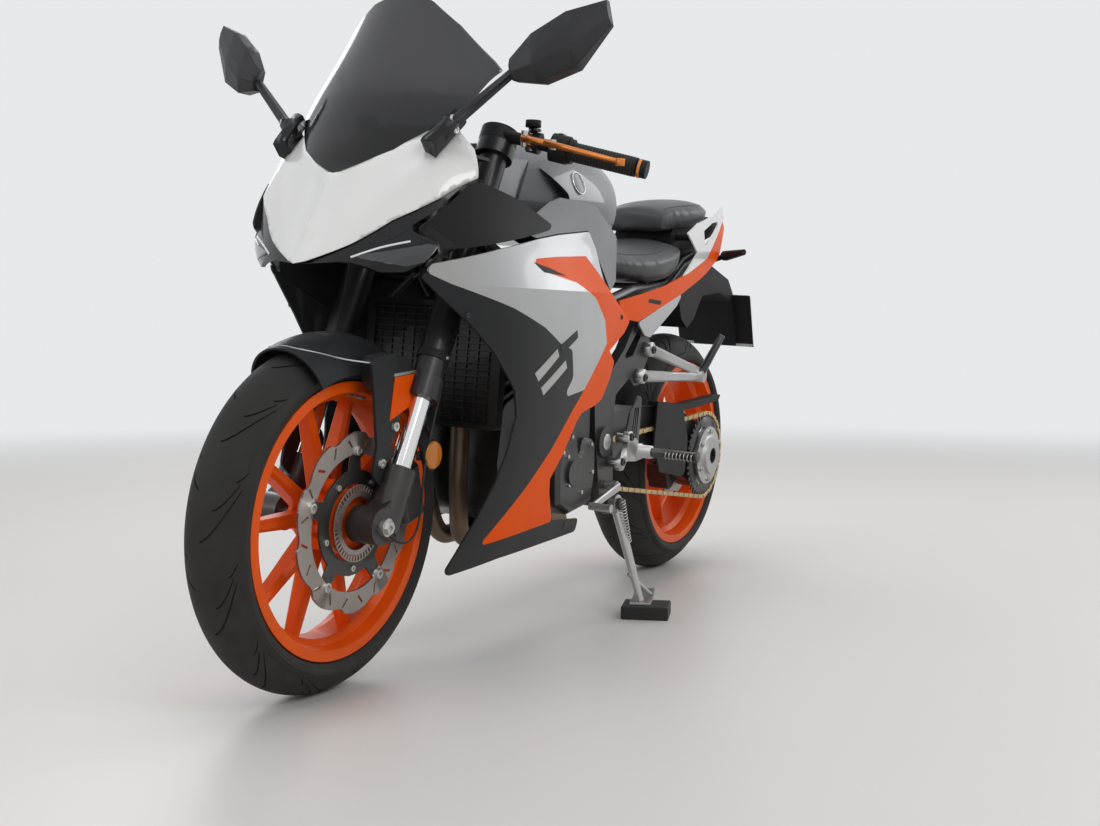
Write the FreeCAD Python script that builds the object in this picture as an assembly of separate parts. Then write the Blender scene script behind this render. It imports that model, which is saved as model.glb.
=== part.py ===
import FreeCAD, Part
import math
import os

V = FreeCAD.Vector

# Sport bike. X points forward, Y to the rider's left, Z up; millimetres and degrees.
# The bike is shaped upright, then leaned onto its side stand.

# Chassis and wheels
WHEELBASE = 1380.0
FRONT_RADIUS = 293.0
REAR_RADIUS = 300.0
FRONT_WIDTH = 110.0
REAR_WIDTH = 140.0
RIM_LIP_RADIUS = 231.0
RIM_SEAT_RADIUS = 218.0
RIM_DROP = 13.0
RIM_WALL = 7.0
LIP_THICKNESS = 5.0
FRONT_LIP_HALF = 50.0
REAR_LIP_HALF = 65.0
SPOKE_PAIRS = 5
RAKE = 25.0
TRAIL = 95.0
LEAN = 3.3

# Steering and fork
LEG_SPACING = 210.0
AXLE_LEAD = 30.0
OUTER_TUBE_RADIUS = 26.0
INNER_TUBE_RADIUS = 18.5
FOOT_RADIUS = 29.0
AXLE_RADIUS = 10.0
AXLE_BORE = 6.0
FIT = 0.3
FORK_TOP = 748.0
CLIP_HEIGHT = 28.0
HEAD_LOW = 792.0
HEAD_HIGH = 905.0
HEAD_RADIUS = 30.0
STEM_BORE = 8.0
CLAMP_THICKNESS = 26.0
BAR_RADIUS = 11.0
GRIP_RADIUS = 17.0

# Brakes and drive
FRONT_DISC_RADIUS = 150.0
FRONT_DISC_THICKNESS = 4.5
FRONT_DISC_Y = 66.0
REAR_DISC_RADIUS = 110.0
REAR_DISC_Y = 44.0
PAD_GAP = 5.0
CHAIN_Y = 125.0
CHAIN_WIDTH = 10.0
CHAIN_HALF = 7.0
REAR_PITCH_RADIUS = 106.0
FRONT_PITCH_RADIUS = 38.0
FRONT_SPROCKET = (-2.0, 330.0)

SPROCKET_WHEEL_Y = 106.0

# Swingarm, stand and its pad
ARM_Y = 112.0
SHOCK_FOOT = (-226.0, 462.0)
PIVOT = (-72.0, 338.0)
PIVOT_RADIUS = 34.0
PIVOT_SHAFT = 10.0
PLATE_Y = (136.0, 158.0)
FRAME_CAP = (-38.0, 383.0)
HUB_HOUSING_RADIUS = 82.0
HUB_SHAFT_RADIUS = 50.0
REAR_AXLE_BORE = 20.0
STAND_PIVOT = (-72.0, 178.0, 250.0)
STAND_FOOT = (-98.0, 238.0, 44.0)
STAND_TILT = 8.0
SOLE_THICKNESS = 6.0
PAD_SIZE = (84.0, 99.0)
PAD_TURN = 19.0

# Bodywork
SKIN = 4.0
SCREEN_THICKNESS = 3.0
STEER_RANGE = 27.0
STEER_GAP = 6.0

FRONT_X = WHEELBASE / 2
REAR_X = -WHEELBASE / 2
LEG_Y = LEG_SPACING / 2
RAKE_SIN = math.sin(math.radians(RAKE))
RAKE_COS = math.cos(math.radians(RAKE))
UP_AXIS = V(-RAKE_SIN, 0, RAKE_COS)
FRONT_AXLE = V(FRONT_X, 0, FRONT_RADIUS)
REAR_AXLE = V(REAR_X, 0, REAR_RADIUS)

nodes = {}


# Small makers of shapes

def box(x, y, z):
    """x, y and z are (low, high) pairs."""
    return Part.makeBox(x[1] - x[0], y[1] - y[0], z[1] - z[0], V(x[0], y[0], z[0]))


def rod(start, end, radius):
    line = end - start
    return Part.makeCylinder(radius, line.Length, start, line)


def cone(start, end, radius_start, radius_end):
    line = end - start
    return Part.makeCone(radius_start, radius_end, line.Length, start, line)


def across(x, z, radius, y0, y1):
    """A cylinder along Y."""
    return Part.makeCylinder(radius, y1 - y0, V(x, y0, z), V(0, 1, 0))


def join(shapes):
    return shapes[0].multiFuse(shapes[1:]).removeSplitter() if len(shapes) > 1 else shapes[0]


def flip(shape):
    return shape.mirror(V(0, 0, 0), V(0, 1, 0))


def both(shape):
    return Part.makeCompound([shape, flip(shape)])


def rounded(points, corner, closed=True):
    """Straight runs joined by tangent arcs of one corner radius."""
    count = len(points)
    stops = []
    for i, point in enumerate(points):
        if corner <= 0 or (not closed and i in (0, count - 1)):
            stops.append((point, None, point))
            continue
        back = points[i - 1] - point
        ahead = points[(i + 1) % count] - point
        half = back.getAngle(ahead) / 2
        reach = min(corner / math.tan(half), 0.45 * back.Length, 0.45 * ahead.Length)
        radius = reach * math.tan(half)
        back.normalize()
        ahead.normalize()
        middle = back + ahead
        if middle.Length < 0.02:
            stops.append((point, None, point))
            continue
        middle.normalize()
        top = point + middle * (radius / math.sin(half) - radius)
        stops.append((point + back * reach, top, point + ahead * reach))
    edges = []
    for i in range(count if closed else count - 1):
        start, end = stops[i][2], stops[(i + 1) % count][0]
        if start.distanceToPoint(end) > 0.001:
            edges.append(Part.makeLine(start, end))
        if stops[(i + 1) % count][1] and (closed or i + 1 < count - 1):
            a, b, c = stops[(i + 1) % count]
            edges.append(Part.Arc(a, b, c).toShape())
    return Part.Wire(Part.__sortEdges__(edges))


def slab(outline, y0, y1, corner=0.0):
    """A side outline of (x, z) points, thick from y0 to y1."""
    wire = rounded([V(x, y0, z) for x, z in outline], corner)
    return Part.Face(wire).extrude(V(0, y1 - y0, 0))


def front_slab(outline, x0, x1, corner=0.0):
    """A front outline of (y, z) points, thick from x0 to x1."""
    wire = rounded([V(x0, y, z) for y, z in outline], corner)
    return Part.Face(wire).extrude(V(x1 - x0, 0, 0))


def bent_tube(points, radius, bend, hole=0.0):
    """A round tube along straight runs joined by arcs."""
    path = rounded([V(*p) for p in points], bend, closed=False)
    start, following = V(*points[0]), V(*points[1])
    solid = None
    for size in (radius, hole):
        if size <= 0:
            continue
        ring = Part.Wire(Part.makeCircle(size, start, following - start))
        swept = path.makePipeShell([ring], True, True)
        solid = swept if solid is None else solid.cut(swept)
    return solid


def turned(profile, centre, corner=0.0):
    """A profile of (y, radius) points turned about the Y axis through centre."""
    wire = rounded([V(0, y, r) for y, r in profile], corner)
    solid = Part.Face(wire).revolve(V(0, 0, 0), V(0, 1, 0), 360)
    solid.translate(centre)
    return solid


def bar(start, end, size_start, size_end, wide_way, trim=0.28):
    """A tapered beam with chamfered corners; sizes are (wide, deep)."""
    line = end - start
    line.normalize()
    wide = wide_way - line * wide_way.dot(line)
    wide.normalize()
    deep = line.cross(wide)
    wires = []
    for place, (w, d) in ((start, size_start), (end, size_end)):
        w, d = w / 2, d / 2
        c = trim * min(w, d) * 2
        ring = [(w, d - c), (w - c, d), (c - w, d), (-w, d - c), (-w, c - d), (c - w, -d), (w - c, -d), (w, c - d)]
        wires.append(Part.makePolygon([place + wide * a + deep * b for a, b in ring + ring[:1]]))
    return Part.makeLoft(wires, True, True)


def arc(a, b, c):
    return Part.Arc(a, b, c).toShape()


def along_axis(z):
    """Point of the steering axis at a height."""
    return V(FRONT_X + TRAIL - z * RAKE_SIN / RAKE_COS, 0, z)


def leg(t, side=1):
    """Point of a fork leg, t millimetres up from axle height."""
    return V(FRONT_X - AXLE_LEAD, side * LEG_Y, FRONT_RADIUS) + UP_AXIS * t


# Wheels

def tyre(radius, width, lip_half, centre):
    crown = width / 2
    shoulder = math.radians(68)
    low = RIM_LIP_RADIUS + 1.5
    bead = lip_half - LIP_THICKNESS - FIT
    seat = RIM_SEAT_RADIUS + FIT
    mid_side = (low + radius - crown) / 2 + 4

    def at(y, r):
        return V(0, y, r)
    sy = crown * math.sin(shoulder)
    sr = radius - crown + crown * math.cos(shoulder)
    edges = [
        arc(at(-sy, sr), at(0, radius), at(sy, sr)),
        arc(at(sy, sr), at(crown, mid_side), at(bead, low)),
        Part.makeLine(at(bead, low), at(bead, seat)),
        Part.makeLine(at(bead, seat), at(-bead, seat)),
        Part.makeLine(at(-bead, seat), at(-bead, low)),
        arc(at(-bead, low), at(-crown, mid_side), at(-sy, sr))]
    solid = Part.Face(Part.Wire(edges)).revolve(V(0, 0, 0), V(0, 1, 0), 360)
    solid.translate(centre)
    return solid


def barrel(lip_half, centre):
    lip, seat = RIM_LIP_RADIUS, RIM_SEAT_RADIUS
    edge = lip_half - LIP_THICKNESS
    well = seat - RIM_DROP
    half_well = lip_half * 0.42
    return turned([
        (lip_half, lip), (lip_half, seat - 5), (half_well + 10, seat - RIM_WALL - 3), (half_well, well - RIM_WALL),
        (-half_well, well - RIM_WALL), (-half_well - 10, seat - RIM_WALL - 3), (-lip_half, seat - 5),
        (-lip_half, lip), (-edge, lip), (-edge, seat), (-half_well - 8, seat), (-half_well, well),
        (half_well, well), (half_well + 8, seat), (edge, seat), (edge, lip)], centre)


def spokes(centre, hub_radius, rim_radius, y_hub, y_rim, size_hub, size_rim, spread_hub, spread_rim):
    """Pairs of beams that leave the hub together and open towards the rim."""
    arms = []
    for k in range(SPOKE_PAIRS):
        for way in (-1, 1):
            a = math.radians(18 + 360.0 / SPOKE_PAIRS * k + way * spread_hub)
            b = math.radians(18 + 360.0 / SPOKE_PAIRS * k + way * spread_rim)
            start = centre + V(hub_radius * math.cos(a), y_hub, hub_radius * math.sin(a))
            end = centre + V(rim_radius * math.cos(b), y_rim, rim_radius * math.sin(b))
            arms.append(bar(start, end, size_hub, size_rim, V(0, 1, 0)))
    return arms


def rim_solid(lip_half, centre, hub_profile, arms, bore):
    solid = turned(hub_profile, centre)
    for arm in arms:
        solid = solid.fuse(arm)
    solid = solid.fuse(barrel(lip_half, centre))
    return solid.cut(across(centre.x, centre.z, bore, -200, 200))


def front_wheel():
    well = RIM_SEAT_RADIUS - RIM_DROP - RIM_WALL
    hub = [(-52, 0), (-52, 26), (-30, 40), (-22, 46), (22, 46), (34, 50), (60, 56), (60, 0)]
    arms = spokes(FRONT_AXLE, 36, well + 4, 0, 0, (44, 27), (26, 17), 8, 16)
    for k in range(SPOKE_PAIRS):
        a = math.radians(54 + 72 * k)
        x, z = FRONT_AXLE.x + 78 * math.cos(a), FRONT_AXLE.z + 78 * math.sin(a)
        arms.append(bar(FRONT_AXLE + V(30 * math.cos(a), 42, 30 * math.sin(a)),
                        V(x, 50, z), (26, 22), (20, 16), V(0, 1, 0)))
        arms.append(across(x, z, 12, 42, 62))
    nodes["front_tyre"] = tyre(FRONT_RADIUS, FRONT_WIDTH, FRONT_LIP_HALF, FRONT_AXLE)
    nodes["front_rim"] = rim_solid(FRONT_LIP_HALF, FRONT_AXLE, hub, arms, AXLE_RADIUS + FIT)


def petal_disc(centre, outer, inner, petals, y0, thickness):
    """A brake disc with a waved edge and two slots in each petal."""
    dip = 6.0
    step = 2 * math.pi / petals
    edges = []

    def at(r, a):
        return V(centre.x + r * math.cos(a), y0, centre.z + r * math.sin(a))
    for k in range(petals):
        a = k * step
        edges.append(arc(at(outer - dip, a), at(outer, a + step * 0.38), at(outer - dip * 0.2, a + step * 0.72)))
        edges.append(arc(at(outer - dip * 0.2, a + step * 0.72), at(outer - dip * 1.3, a + step * 0.86),
                         at(outer - dip, a + step)))
    plate = Part.Face(Part.Wire(edges)).extrude(V(0, thickness, 0))
    cuts = [across(centre.x, centre.z, inner, y0 - 1, y0 + thickness + 1)]
    middle = (outer + inner) / 2
    for k in range(petals):
        for share, turn in ((0.25, 35), (0.75, -35)):
            a = (k + share) * step
            slot = box((-2.0, 2.0), (y0 - 1, y0 + thickness + 1), (-9, 9))
            slot.rotate(V(0, 0, 0), V(0, 1, 0), 90 - math.degrees(a) + turn)
            slot.translate(V(centre.x + middle * math.cos(a), 0, centre.z + middle * math.sin(a)))
            cuts.append(slot)
    return plate.cut(Part.makeCompound(cuts))


def front_disc():
    inner = 114.0
    ring = petal_disc(FRONT_AXLE, FRONT_DISC_RADIUS, inner, 10, FRONT_DISC_Y, FRONT_DISC_THICKNESS)
    y0, y1 = FRONT_DISC_Y - 4, FRONT_DISC_Y
    pieces = [turned([(y0, 64), (y0, 88), (y1, 88), (y1, 64)], FRONT_AXLE)]
    for k in range(SPOKE_PAIRS):
        a = math.radians(18 + 72 * k)
        way = V(math.cos(a), 0, math.sin(a))
        pieces.append(bar(FRONT_AXLE + way * 80 + V(0, (y0 + y1) / 2, 0), FRONT_AXLE + way * 124 +
                          V(0, (y0 + y1) / 2, 0), (y1 - y0, 34), (y1 - y0, 20), V(0, 1, 0), 0.1))
        pieces.append(across(FRONT_AXLE.x + 119 * way.x, FRONT_AXLE.z + 119 * way.z, 8.5, y0,
                             FRONT_DISC_Y + FRONT_DISC_THICKNESS + 2))
    nodes["front_disc"] = join([ring] + pieces)


def rear_wheel():
    well = RIM_SEAT_RADIUS - RIM_DROP - RIM_WALL
    y_end = CHAIN_Y + 26
    hub = [(-56, 0), (-56, 44), (-42, 54), (-20, 56), (30, 56), (30, 66), (REAR_DISC_Y, 66), (REAR_DISC_Y, 50),
           (60, HUB_SHAFT_RADIUS), (CHAIN_Y - 6, HUB_SHAFT_RADIUS), (CHAIN_Y - 6, 0)]
    arms = spokes(REAR_AXLE, 47, well + 4, -31, -20, (40, 30), (26, 18), 9, 16)
    nodes["rear_tyre"] = tyre(REAR_RADIUS, REAR_WIDTH, REAR_LIP_HALF, REAR_AXLE)
    nodes["rear_rim"] = rim_solid(REAR_LIP_HALF, REAR_AXLE, hub, arms, REAR_AXLE_BORE)
    disc = petal_disc(REAR_AXLE, REAR_DISC_RADIUS, HUB_SHAFT_RADIUS + 1.5, 8, REAR_DISC_Y, 4.0)
    nodes["rear_disc"] = disc
    y0 = CHAIN_Y - 6
    tip = REAR_PITCH_RADIUS - CHAIN_HALF - 1.5
    plate = turned([(CHAIN_Y - 3, REAR_AXLE_BORE), (CHAIN_Y - 3, tip), (CHAIN_Y + 3, tip),
                    (CHAIN_Y + 3, REAR_AXLE_BORE)], REAR_AXLE)
    boss = turned([(y0, REAR_AXLE_BORE), (y0, 58), (CHAIN_Y + 8, 72), (CHAIN_Y + 14, 72), (CHAIN_Y + 16, 48),
                   (y_end, 44), (y_end, REAR_AXLE_BORE)], REAR_AXLE)
    holes = []
    for k in range(6):
        a = math.radians(60 * k)
        x, z = REAR_AXLE.x + 83 * math.cos(a), REAR_AXLE.z + 83 * math.sin(a)
        holes.append(across(x, z, 9, y0, y_end))
    nodes["rear_sprocket"] = join([plate, boss]).cut(Part.makeCompound(holes))


# Steered pieces

def fork():
    outer, inner, feet = [], [], []
    for side in (1, -1):
        outer.append(join([
            rod(leg(232, side), leg(FORK_TOP, side), OUTER_TUBE_RADIUS),
            rod(leg(FORK_TOP, side), leg(FORK_TOP + 6, side), OUTER_TUBE_RADIUS - 7),
            rod(leg(222, side), leg(262, side), OUTER_TUBE_RADIUS + 3)])
            .cut(rod(leg(221, side), leg(300, side), INNER_TUBE_RADIUS + FIT)))
        inner.append(rod(leg(96, side), leg(290, side), INNER_TUBE_RADIUS))
        y_in, y_out = (74, LEG_Y + FOOT_RADIUS - 8)
        clamp = across(FRONT_X, FRONT_RADIUS, 31, y_in, y_out)
        web = slab([(FRONT_X + 8, 268), (FRONT_X + 26, 300), (642, 350), (612, 340), (650, 262)],
                   LEG_Y - 18, LEG_Y + 18, 8)
        if side < 0:
            clamp, web = flip(clamp), flip(web)
        foot = join([cone(leg(-14, side), leg(52, side), FOOT_RADIUS - 3, FOOT_RADIUS),
                     rod(leg(52, side), leg(95, side), FOOT_RADIUS), clamp, web])
        foot = foot.cut(across(FRONT_X, FRONT_RADIUS, AXLE_RADIUS + FIT, -200, 200))
        for seat in ((y_out, 200), (-200, -y_out)):
            foot = foot.cut(across(FRONT_X, FRONT_RADIUS, AXLE_RADIUS + 5 + FIT, *seat))
        feet.append(foot)
    nodes["fork_outer_tubes"] = Part.makeCompound(outer)
    nodes["fork_inner_tubes"] = Part.makeCompound(inner)
    nodes["fork_feet"] = Part.makeCompound(feet)
    end = LEG_Y + FOOT_RADIUS
    axle = join([across(FRONT_X, FRONT_RADIUS, AXLE_RADIUS, -end, end),
                 across(FRONT_X, FRONT_RADIUS, AXLE_RADIUS + 5, end - 7.7, end + 2),
                 across(FRONT_X, FRONT_RADIUS, AXLE_RADIUS + 5, -end - 2, -end + 7.7)])
    nodes["front_axle"] = axle.cut(across(FRONT_X, FRONT_RADIUS, AXLE_BORE, -end - 5, end + 5))


def beside_axis(z_axis, side):
    """How far up a leg the plane square to the steering axis at a height crosses it."""
    return (along_axis(z_axis) - leg(0, side)).dot(UP_AXIS)


def clamp_plate(z_axis, thickness):
    """One triple clamp: a plate square to the steering axis that holds both legs."""
    centre = along_axis(z_axis)
    legs = [leg(beside_axis(z_axis, side), side) for side in (1, -1)]
    low = UP_AXIS * (-thickness / 2)
    high = UP_AXIS * (thickness / 2)
    parts = [rod(centre + low, centre + high, HEAD_RADIUS + 2)]
    for place in legs:
        parts.append(rod(place + low, place + high, OUTER_TUBE_RADIUS + 9))
        parts.append(bar(centre + (place - centre) * 0.15, place, (thickness, 52), (thickness, 44), UP_AXIS))
    solid = join(parts)
    for place in legs:
        solid = solid.cut(rod(place + low * 3, place + high * 3, OUTER_TUBE_RADIUS))
    return solid


CLAMP_LOW_Z = HEAD_LOW - 22
CLAMP_HIGH_Z = HEAD_HIGH + 22


def clamps():
    stem = rod(along_axis(CLAMP_LOW_Z), along_axis(CLAMP_HIGH_Z) + UP_AXIS * 18, 14)
    nut = rod(along_axis(CLAMP_HIGH_Z), along_axis(CLAMP_HIGH_Z) + UP_AXIS * 24, 19)
    solid = join([clamp_plate(CLAMP_LOW_Z, CLAMP_THICKNESS + 6), clamp_plate(CLAMP_HIGH_Z, CLAMP_THICKNESS),
                  stem, nut])
    bore = rod(along_axis(CLAMP_LOW_Z) - UP_AXIS * 60, along_axis(CLAMP_HIGH_Z) + UP_AXIS * 60, STEM_BORE)
    nodes["triple_clamps"] = solid.cut(bore)


def steering_sweep(inner, outer, low, high, start, end):
    """A sector about the steering axis: radii, heights along it from the head's top, degrees from straight ahead."""
    centre = along_axis(HEAD_HIGH)
    first = math.radians(start)
    way = V(RAKE_COS, 0, RAKE_SIN) * math.cos(first) + V(0, 1, 0) * math.sin(first)
    points = [centre + way * r + UP_AXIS * s for r, s in ((inner, low), (outer, low), (outer, high), (inner, high))]
    return Part.Face(Part.makePolygon(points + points[:1])).revolve(centre, UP_AXIS, end - start)


def bar_line(share, side=1):
    """Point along a clip-on bar, share 0 at its root and 1 at its end."""
    root = V(368, 118, 962)
    end = V(306, 382, 905)
    point = root + (end - root) * share
    return V(point.x, side * point.y, point.z)


def handlebars():
    parts = []
    for side in (1, -1):
        low = beside_axis(CLAMP_HIGH_Z, side) + CLAMP_THICKNESS / 2
        t = low + CLIP_HEIGHT / 2
        ring = rod(leg(low, side), leg(low + CLIP_HEIGHT, side), OUTER_TUBE_RADIUS + 9)
        neck = bar(leg(t, side) + V(4, side * 6, 0), bar_line(0.06, side), (26, 26), (24, 24), V(0, 0, 1))
        grip = join([
            rod(bar_line(0, side), bar_line(0.5, side), BAR_RADIUS),
            rod(bar_line(0.5, side), bar_line(0.93, side), GRIP_RADIUS),
            rod(bar_line(0.48, side), bar_line(0.505, side), GRIP_RADIUS + 5),
            rod(bar_line(0.94, side), bar_line(1, side), GRIP_RADIUS - 1),
            rod(bar_line(0.9, side), bar_line(0.97, side), BAR_RADIUS)])
        solid = join([ring, neck, grip])
        parts.append(solid.cut(rod(leg(t - 30, side), leg(t + 40, side), OUTER_TUBE_RADIUS)))
    nodes["handlebars"] = Part.makeCompound(parts).cut(nodes["triple_clamps"])


def hand_controls():
    """Switch housings, lever perches, reservoir and levers, clamped round the bars."""
    parts = []
    for side in (1, -1):
        bore = rod(bar_line(-0.1, side), bar_line(0.6, side), BAR_RADIUS + FIT)
        housing = rod(bar_line(0.36, side), bar_line(0.475, side), 25)
        perch = rod(bar_line(0.2, side), bar_line(0.28, side), 19)
        pivot = bar_line(0.24, side) + V(38, 0, 2)
        arm = bar(bar_line(0.24, side) + V(10, 0, 0), pivot, (24, 20), (18, 16), V(0, 0, 1))
        blade_bend = bar_line(0.42, side) + V(56, 0, 4)
        blade_end = bar_line(0.9, side) + V(50, 0, 2)
        blade = [bar(pivot, blade_bend, (12, 22), (11, 18), V(0, 0, 1)),
                 bar(blade_bend - (blade_end - blade_bend) * 0.02, blade_end, (11, 18), (9, 13), V(0, 0, 1)),
                 rod(blade_end - V(0, 0, 6), blade_end + V(0, 0, 6), 9)]
        can_foot = bar_line(0.24, side) + V(8, 0, 14)
        tank = [rod(can_foot, can_foot + V(0, 0, 14), 8),
                rod(can_foot + V(0, 0, 12), can_foot + V(0, 0, 36 if side < 0 else 24), 20 if side < 0 else 14)]
        parts.append(join([perch.cut(bore), arm.cut(bore)] + blade + [s.cut(bore) for s in tank]))
        parts.append(housing.cut(bore))
    nodes["hand_controls"] = Part.makeCompound(parts)


def mudguard():
    """Front mudguard: an arch round the tyre with struts down to the fork feet."""
    gap = 13.0
    mid = FRONT_RADIUS - FRONT_WIDTH / 2

    def arch(reach, drop):
        crown = FRONT_WIDTH / 2 + reach
        side = math.radians(drop)
        a = V(0, -crown * math.sin(side), mid + crown * math.cos(side))
        b = V(0, crown * math.sin(side), a.z)
        return [arc(a, V(0, 0, mid + crown), b), b, a]
    outer, inner = arch(gap + 4, 86), arch(gap, 86)
    wire = Part.Wire([outer[0], Part.makeLine(outer[1], inner[1]), inner[0], Part.makeLine(inner[2], outer[2])])
    guard = Part.Face(wire)
    guard.rotate(V(0, 0, 0), V(0, 1, 0), 24)
    guard = guard.revolve(V(0, 0, 0), V(0, 1, 0), -80)
    guard.translate(FRONT_AXLE)
    lip = slab([(858, 585), (812, 604), (770, 596), (720, 575), (640, 560), (600, 520), (850, 380)], -72, 72, 30)
    strut = slab([(700, 562), (688, 505), (675, 420), (684, 372), (660, 352), (622, 361), (632, 420), (612, 470),
                  (574, 532), (592, 560), (640, 572)], 92, 97, 12)
    ear = slab([(690, 566), (684, 520), (640, 500), (600, 520), (592, 556), (640, 572)], 69, 97, 12)
    parts = [guard]
    for piece in (strut, ear):
        parts += [piece, flip(piece)]
    holes = Part.makeCompound([rod(leg(-40, side), leg(400, side), FOOT_RADIUS + 1) for side in (1, -1)])
    nodes["front_mudguard"] = join(parts).cut(holes)


def front_caliper():
    lay = math.radians(163)
    reach = FRONT_DISC_RADIUS - 22
    x, z = FRONT_X + reach * math.cos(lay), FRONT_RADIUS + reach * math.sin(lay)
    body = box((-34, 30), (FRONT_DISC_Y - 30, LEG_Y - 6), (-52, 52))
    body = body.makeChamfer(9, body.Edges)
    lug = box((0, 34), (LEG_Y - 30, LEG_Y - 8), (-40, 40))
    slot = box((-24, 60), (FRONT_DISC_Y - PAD_GAP, FRONT_DISC_Y + FRONT_DISC_THICKNESS + PAD_GAP), (-80, 80))
    solid = join([body, lug]).cut(slot)
    solid.rotate(V(0, 0, 0), V(0, 1, 0), 180 - math.degrees(lay))
    solid.translate(V(x, 0, z))
    nodes["front_caliper"] = solid.cut(rod(leg(-60), leg(140), FOOT_RADIUS + FIT)).cut(
        across(FRONT_X, FRONT_RADIUS, 33, 0, 200))


# Frame, engine and drive

UPPER_TUBE = ((380, 14, 862), (296, 66, 822), (232, 118, 780), (120, 142, 730), (0, 146, 650))
LOWER_TUBE = ((398, 14, 820), (318, 64, 770), (262, 116, 712), (150, 140, 640), (16, 146, 552))
UPPER_TUBE_RADIUS = 17.0
LOWER_TUBE_RADIUS = 14.0
SEAT_TUBE = ((0, 144, 660), (-200, 128, 700), (-440, 98, 716), (-580, 78, 776), (-650, 76, 794))
STAY_TUBE = ((-200, 146, 646), (-330, 124, 668), (-470, 99, 720))
SEAT_TUBE_RADIUS = 13.0
STAY_TUBE_RADIUS = 11.0
SHOCK_TOP = (-6.0, 655.0)
ENGINE_MOUNT = (-34.0, 260.0)


def on_side(points, side):
    return [(x, side * y, z) for x, y, z in points]


def main_frame():
    """Steering head and the tube frame that runs back to the side plates."""
    solid = rod(along_axis(HEAD_LOW), along_axis(HEAD_HIGH), HEAD_RADIUS)
    for side in (1, -1):
        tubes = [bent_tube(on_side(UPPER_TUBE, side), UPPER_TUBE_RADIUS, 60),
                 bent_tube(on_side(LOWER_TUBE, side), LOWER_TUBE_RADIUS, 60),
                 bar(V(236, side * 117, 780), V(240, side * 121, 700), (18, 18), (18, 18), V(1, 0, 0)),
                 rod(V(200, side * 98, 672), V(200, side * 131, 672), 8),
                 rod(V(240, side * 121, 698), V(240, side * 300, 698), 6)]
        for tube in tubes:
            solid = solid.fuse(tube)
    ends = [box((-50, 34), (-200, 200), (620, 760)), box((-50, 50), (-200, 200), (500, 615)), side_cut(FIT)]
    solid = solid.cut(Part.makeCompound(ends[:2])).cut(ends[2])
    nodes["main_frame"] = solid.cut(rod(along_axis(HEAD_LOW - 20), along_axis(HEAD_HIGH + 20), 15))


def frame_plates():
    """The cast side plates, their cross members, the swingarm's shaft and the stand's lug."""
    plate = slab([(34, 700), (34, 640), (50, 610), (50, 540), (10, 470), (0, 400), (-40, 245), (-100, 245), (-92, 330),
                  (-78, 400), (-88, 480), (-150, 512), (-176, 494), (-208, 498), (-222, 530), (-248, 560),
                  (-248, 592), (-222, 610), (-222, 664), (-190, 664), (-120, 576), (-60, 530), (-30, 560), (-30, 700)],
                 PLATE_Y[0], PLATE_Y[1], 9)
    plate = plate.cut(slab([(-112, 552), (-162, 560), (-196, 600), (-190, 622)], 100, 200, 6))
    boss = across(FRAME_CAP[0], FRAME_CAP[1], 32, PLATE_Y[0], PLATE_Y[1] + 8)
    plates = []
    for piece in (plate, boss):
        plates += [piece, flip(piece)]
    inside = PLATE_Y[0] + 2
    ties = [across(SHOCK_TOP[0], SHOCK_TOP[1], 15, -inside, inside),
            across(ENGINE_MOUNT[0], ENGINE_MOUNT[1], 14, -inside, inside),
            across(-60, 510, 10, -inside, inside),
            across(PIVOT[0], PIVOT[1], PIVOT_SHAFT, -inside, inside)]
    nodes["frame_plates"] = join(plates + ties + [stand_bracket()])


def seat_frame():
    """The tubes behind the side plates that carry the seats and the tail."""
    solid = across(-560, 768, 10, -80, 80)
    parts = [across(-440, 716, 10, -98, 98)]
    for side in (1, -1):
        parts += [bent_tube(on_side(SEAT_TUBE, side), SEAT_TUBE_RADIUS, 120).cut(box((-30, 60), (-200, 200), (500, 800))),
                  bent_tube(on_side(STAY_TUBE, side), STAY_TUBE_RADIUS, 120).cut(box((-222, 60), (-200, 200), (500, 800))),
                  rod(V(-300, side * 114, 700), V(-300, side * 114, 745), 9),
                  rod(V(-330, side * 124, 668), V(-330, side * 300, 690), 6),
                  rod(V(-262, side * 134, 656), V(-262, side * 300, 650), 6)]
    for part in parts:
        solid = solid.fuse(part)
    bed = nodes["rider_seat"].copy()
    bed.translate(V(0, 0, -FIT))
    nodes["seat_frame"] = solid.cut(bed).cut(tail_outside(FIT))


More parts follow.
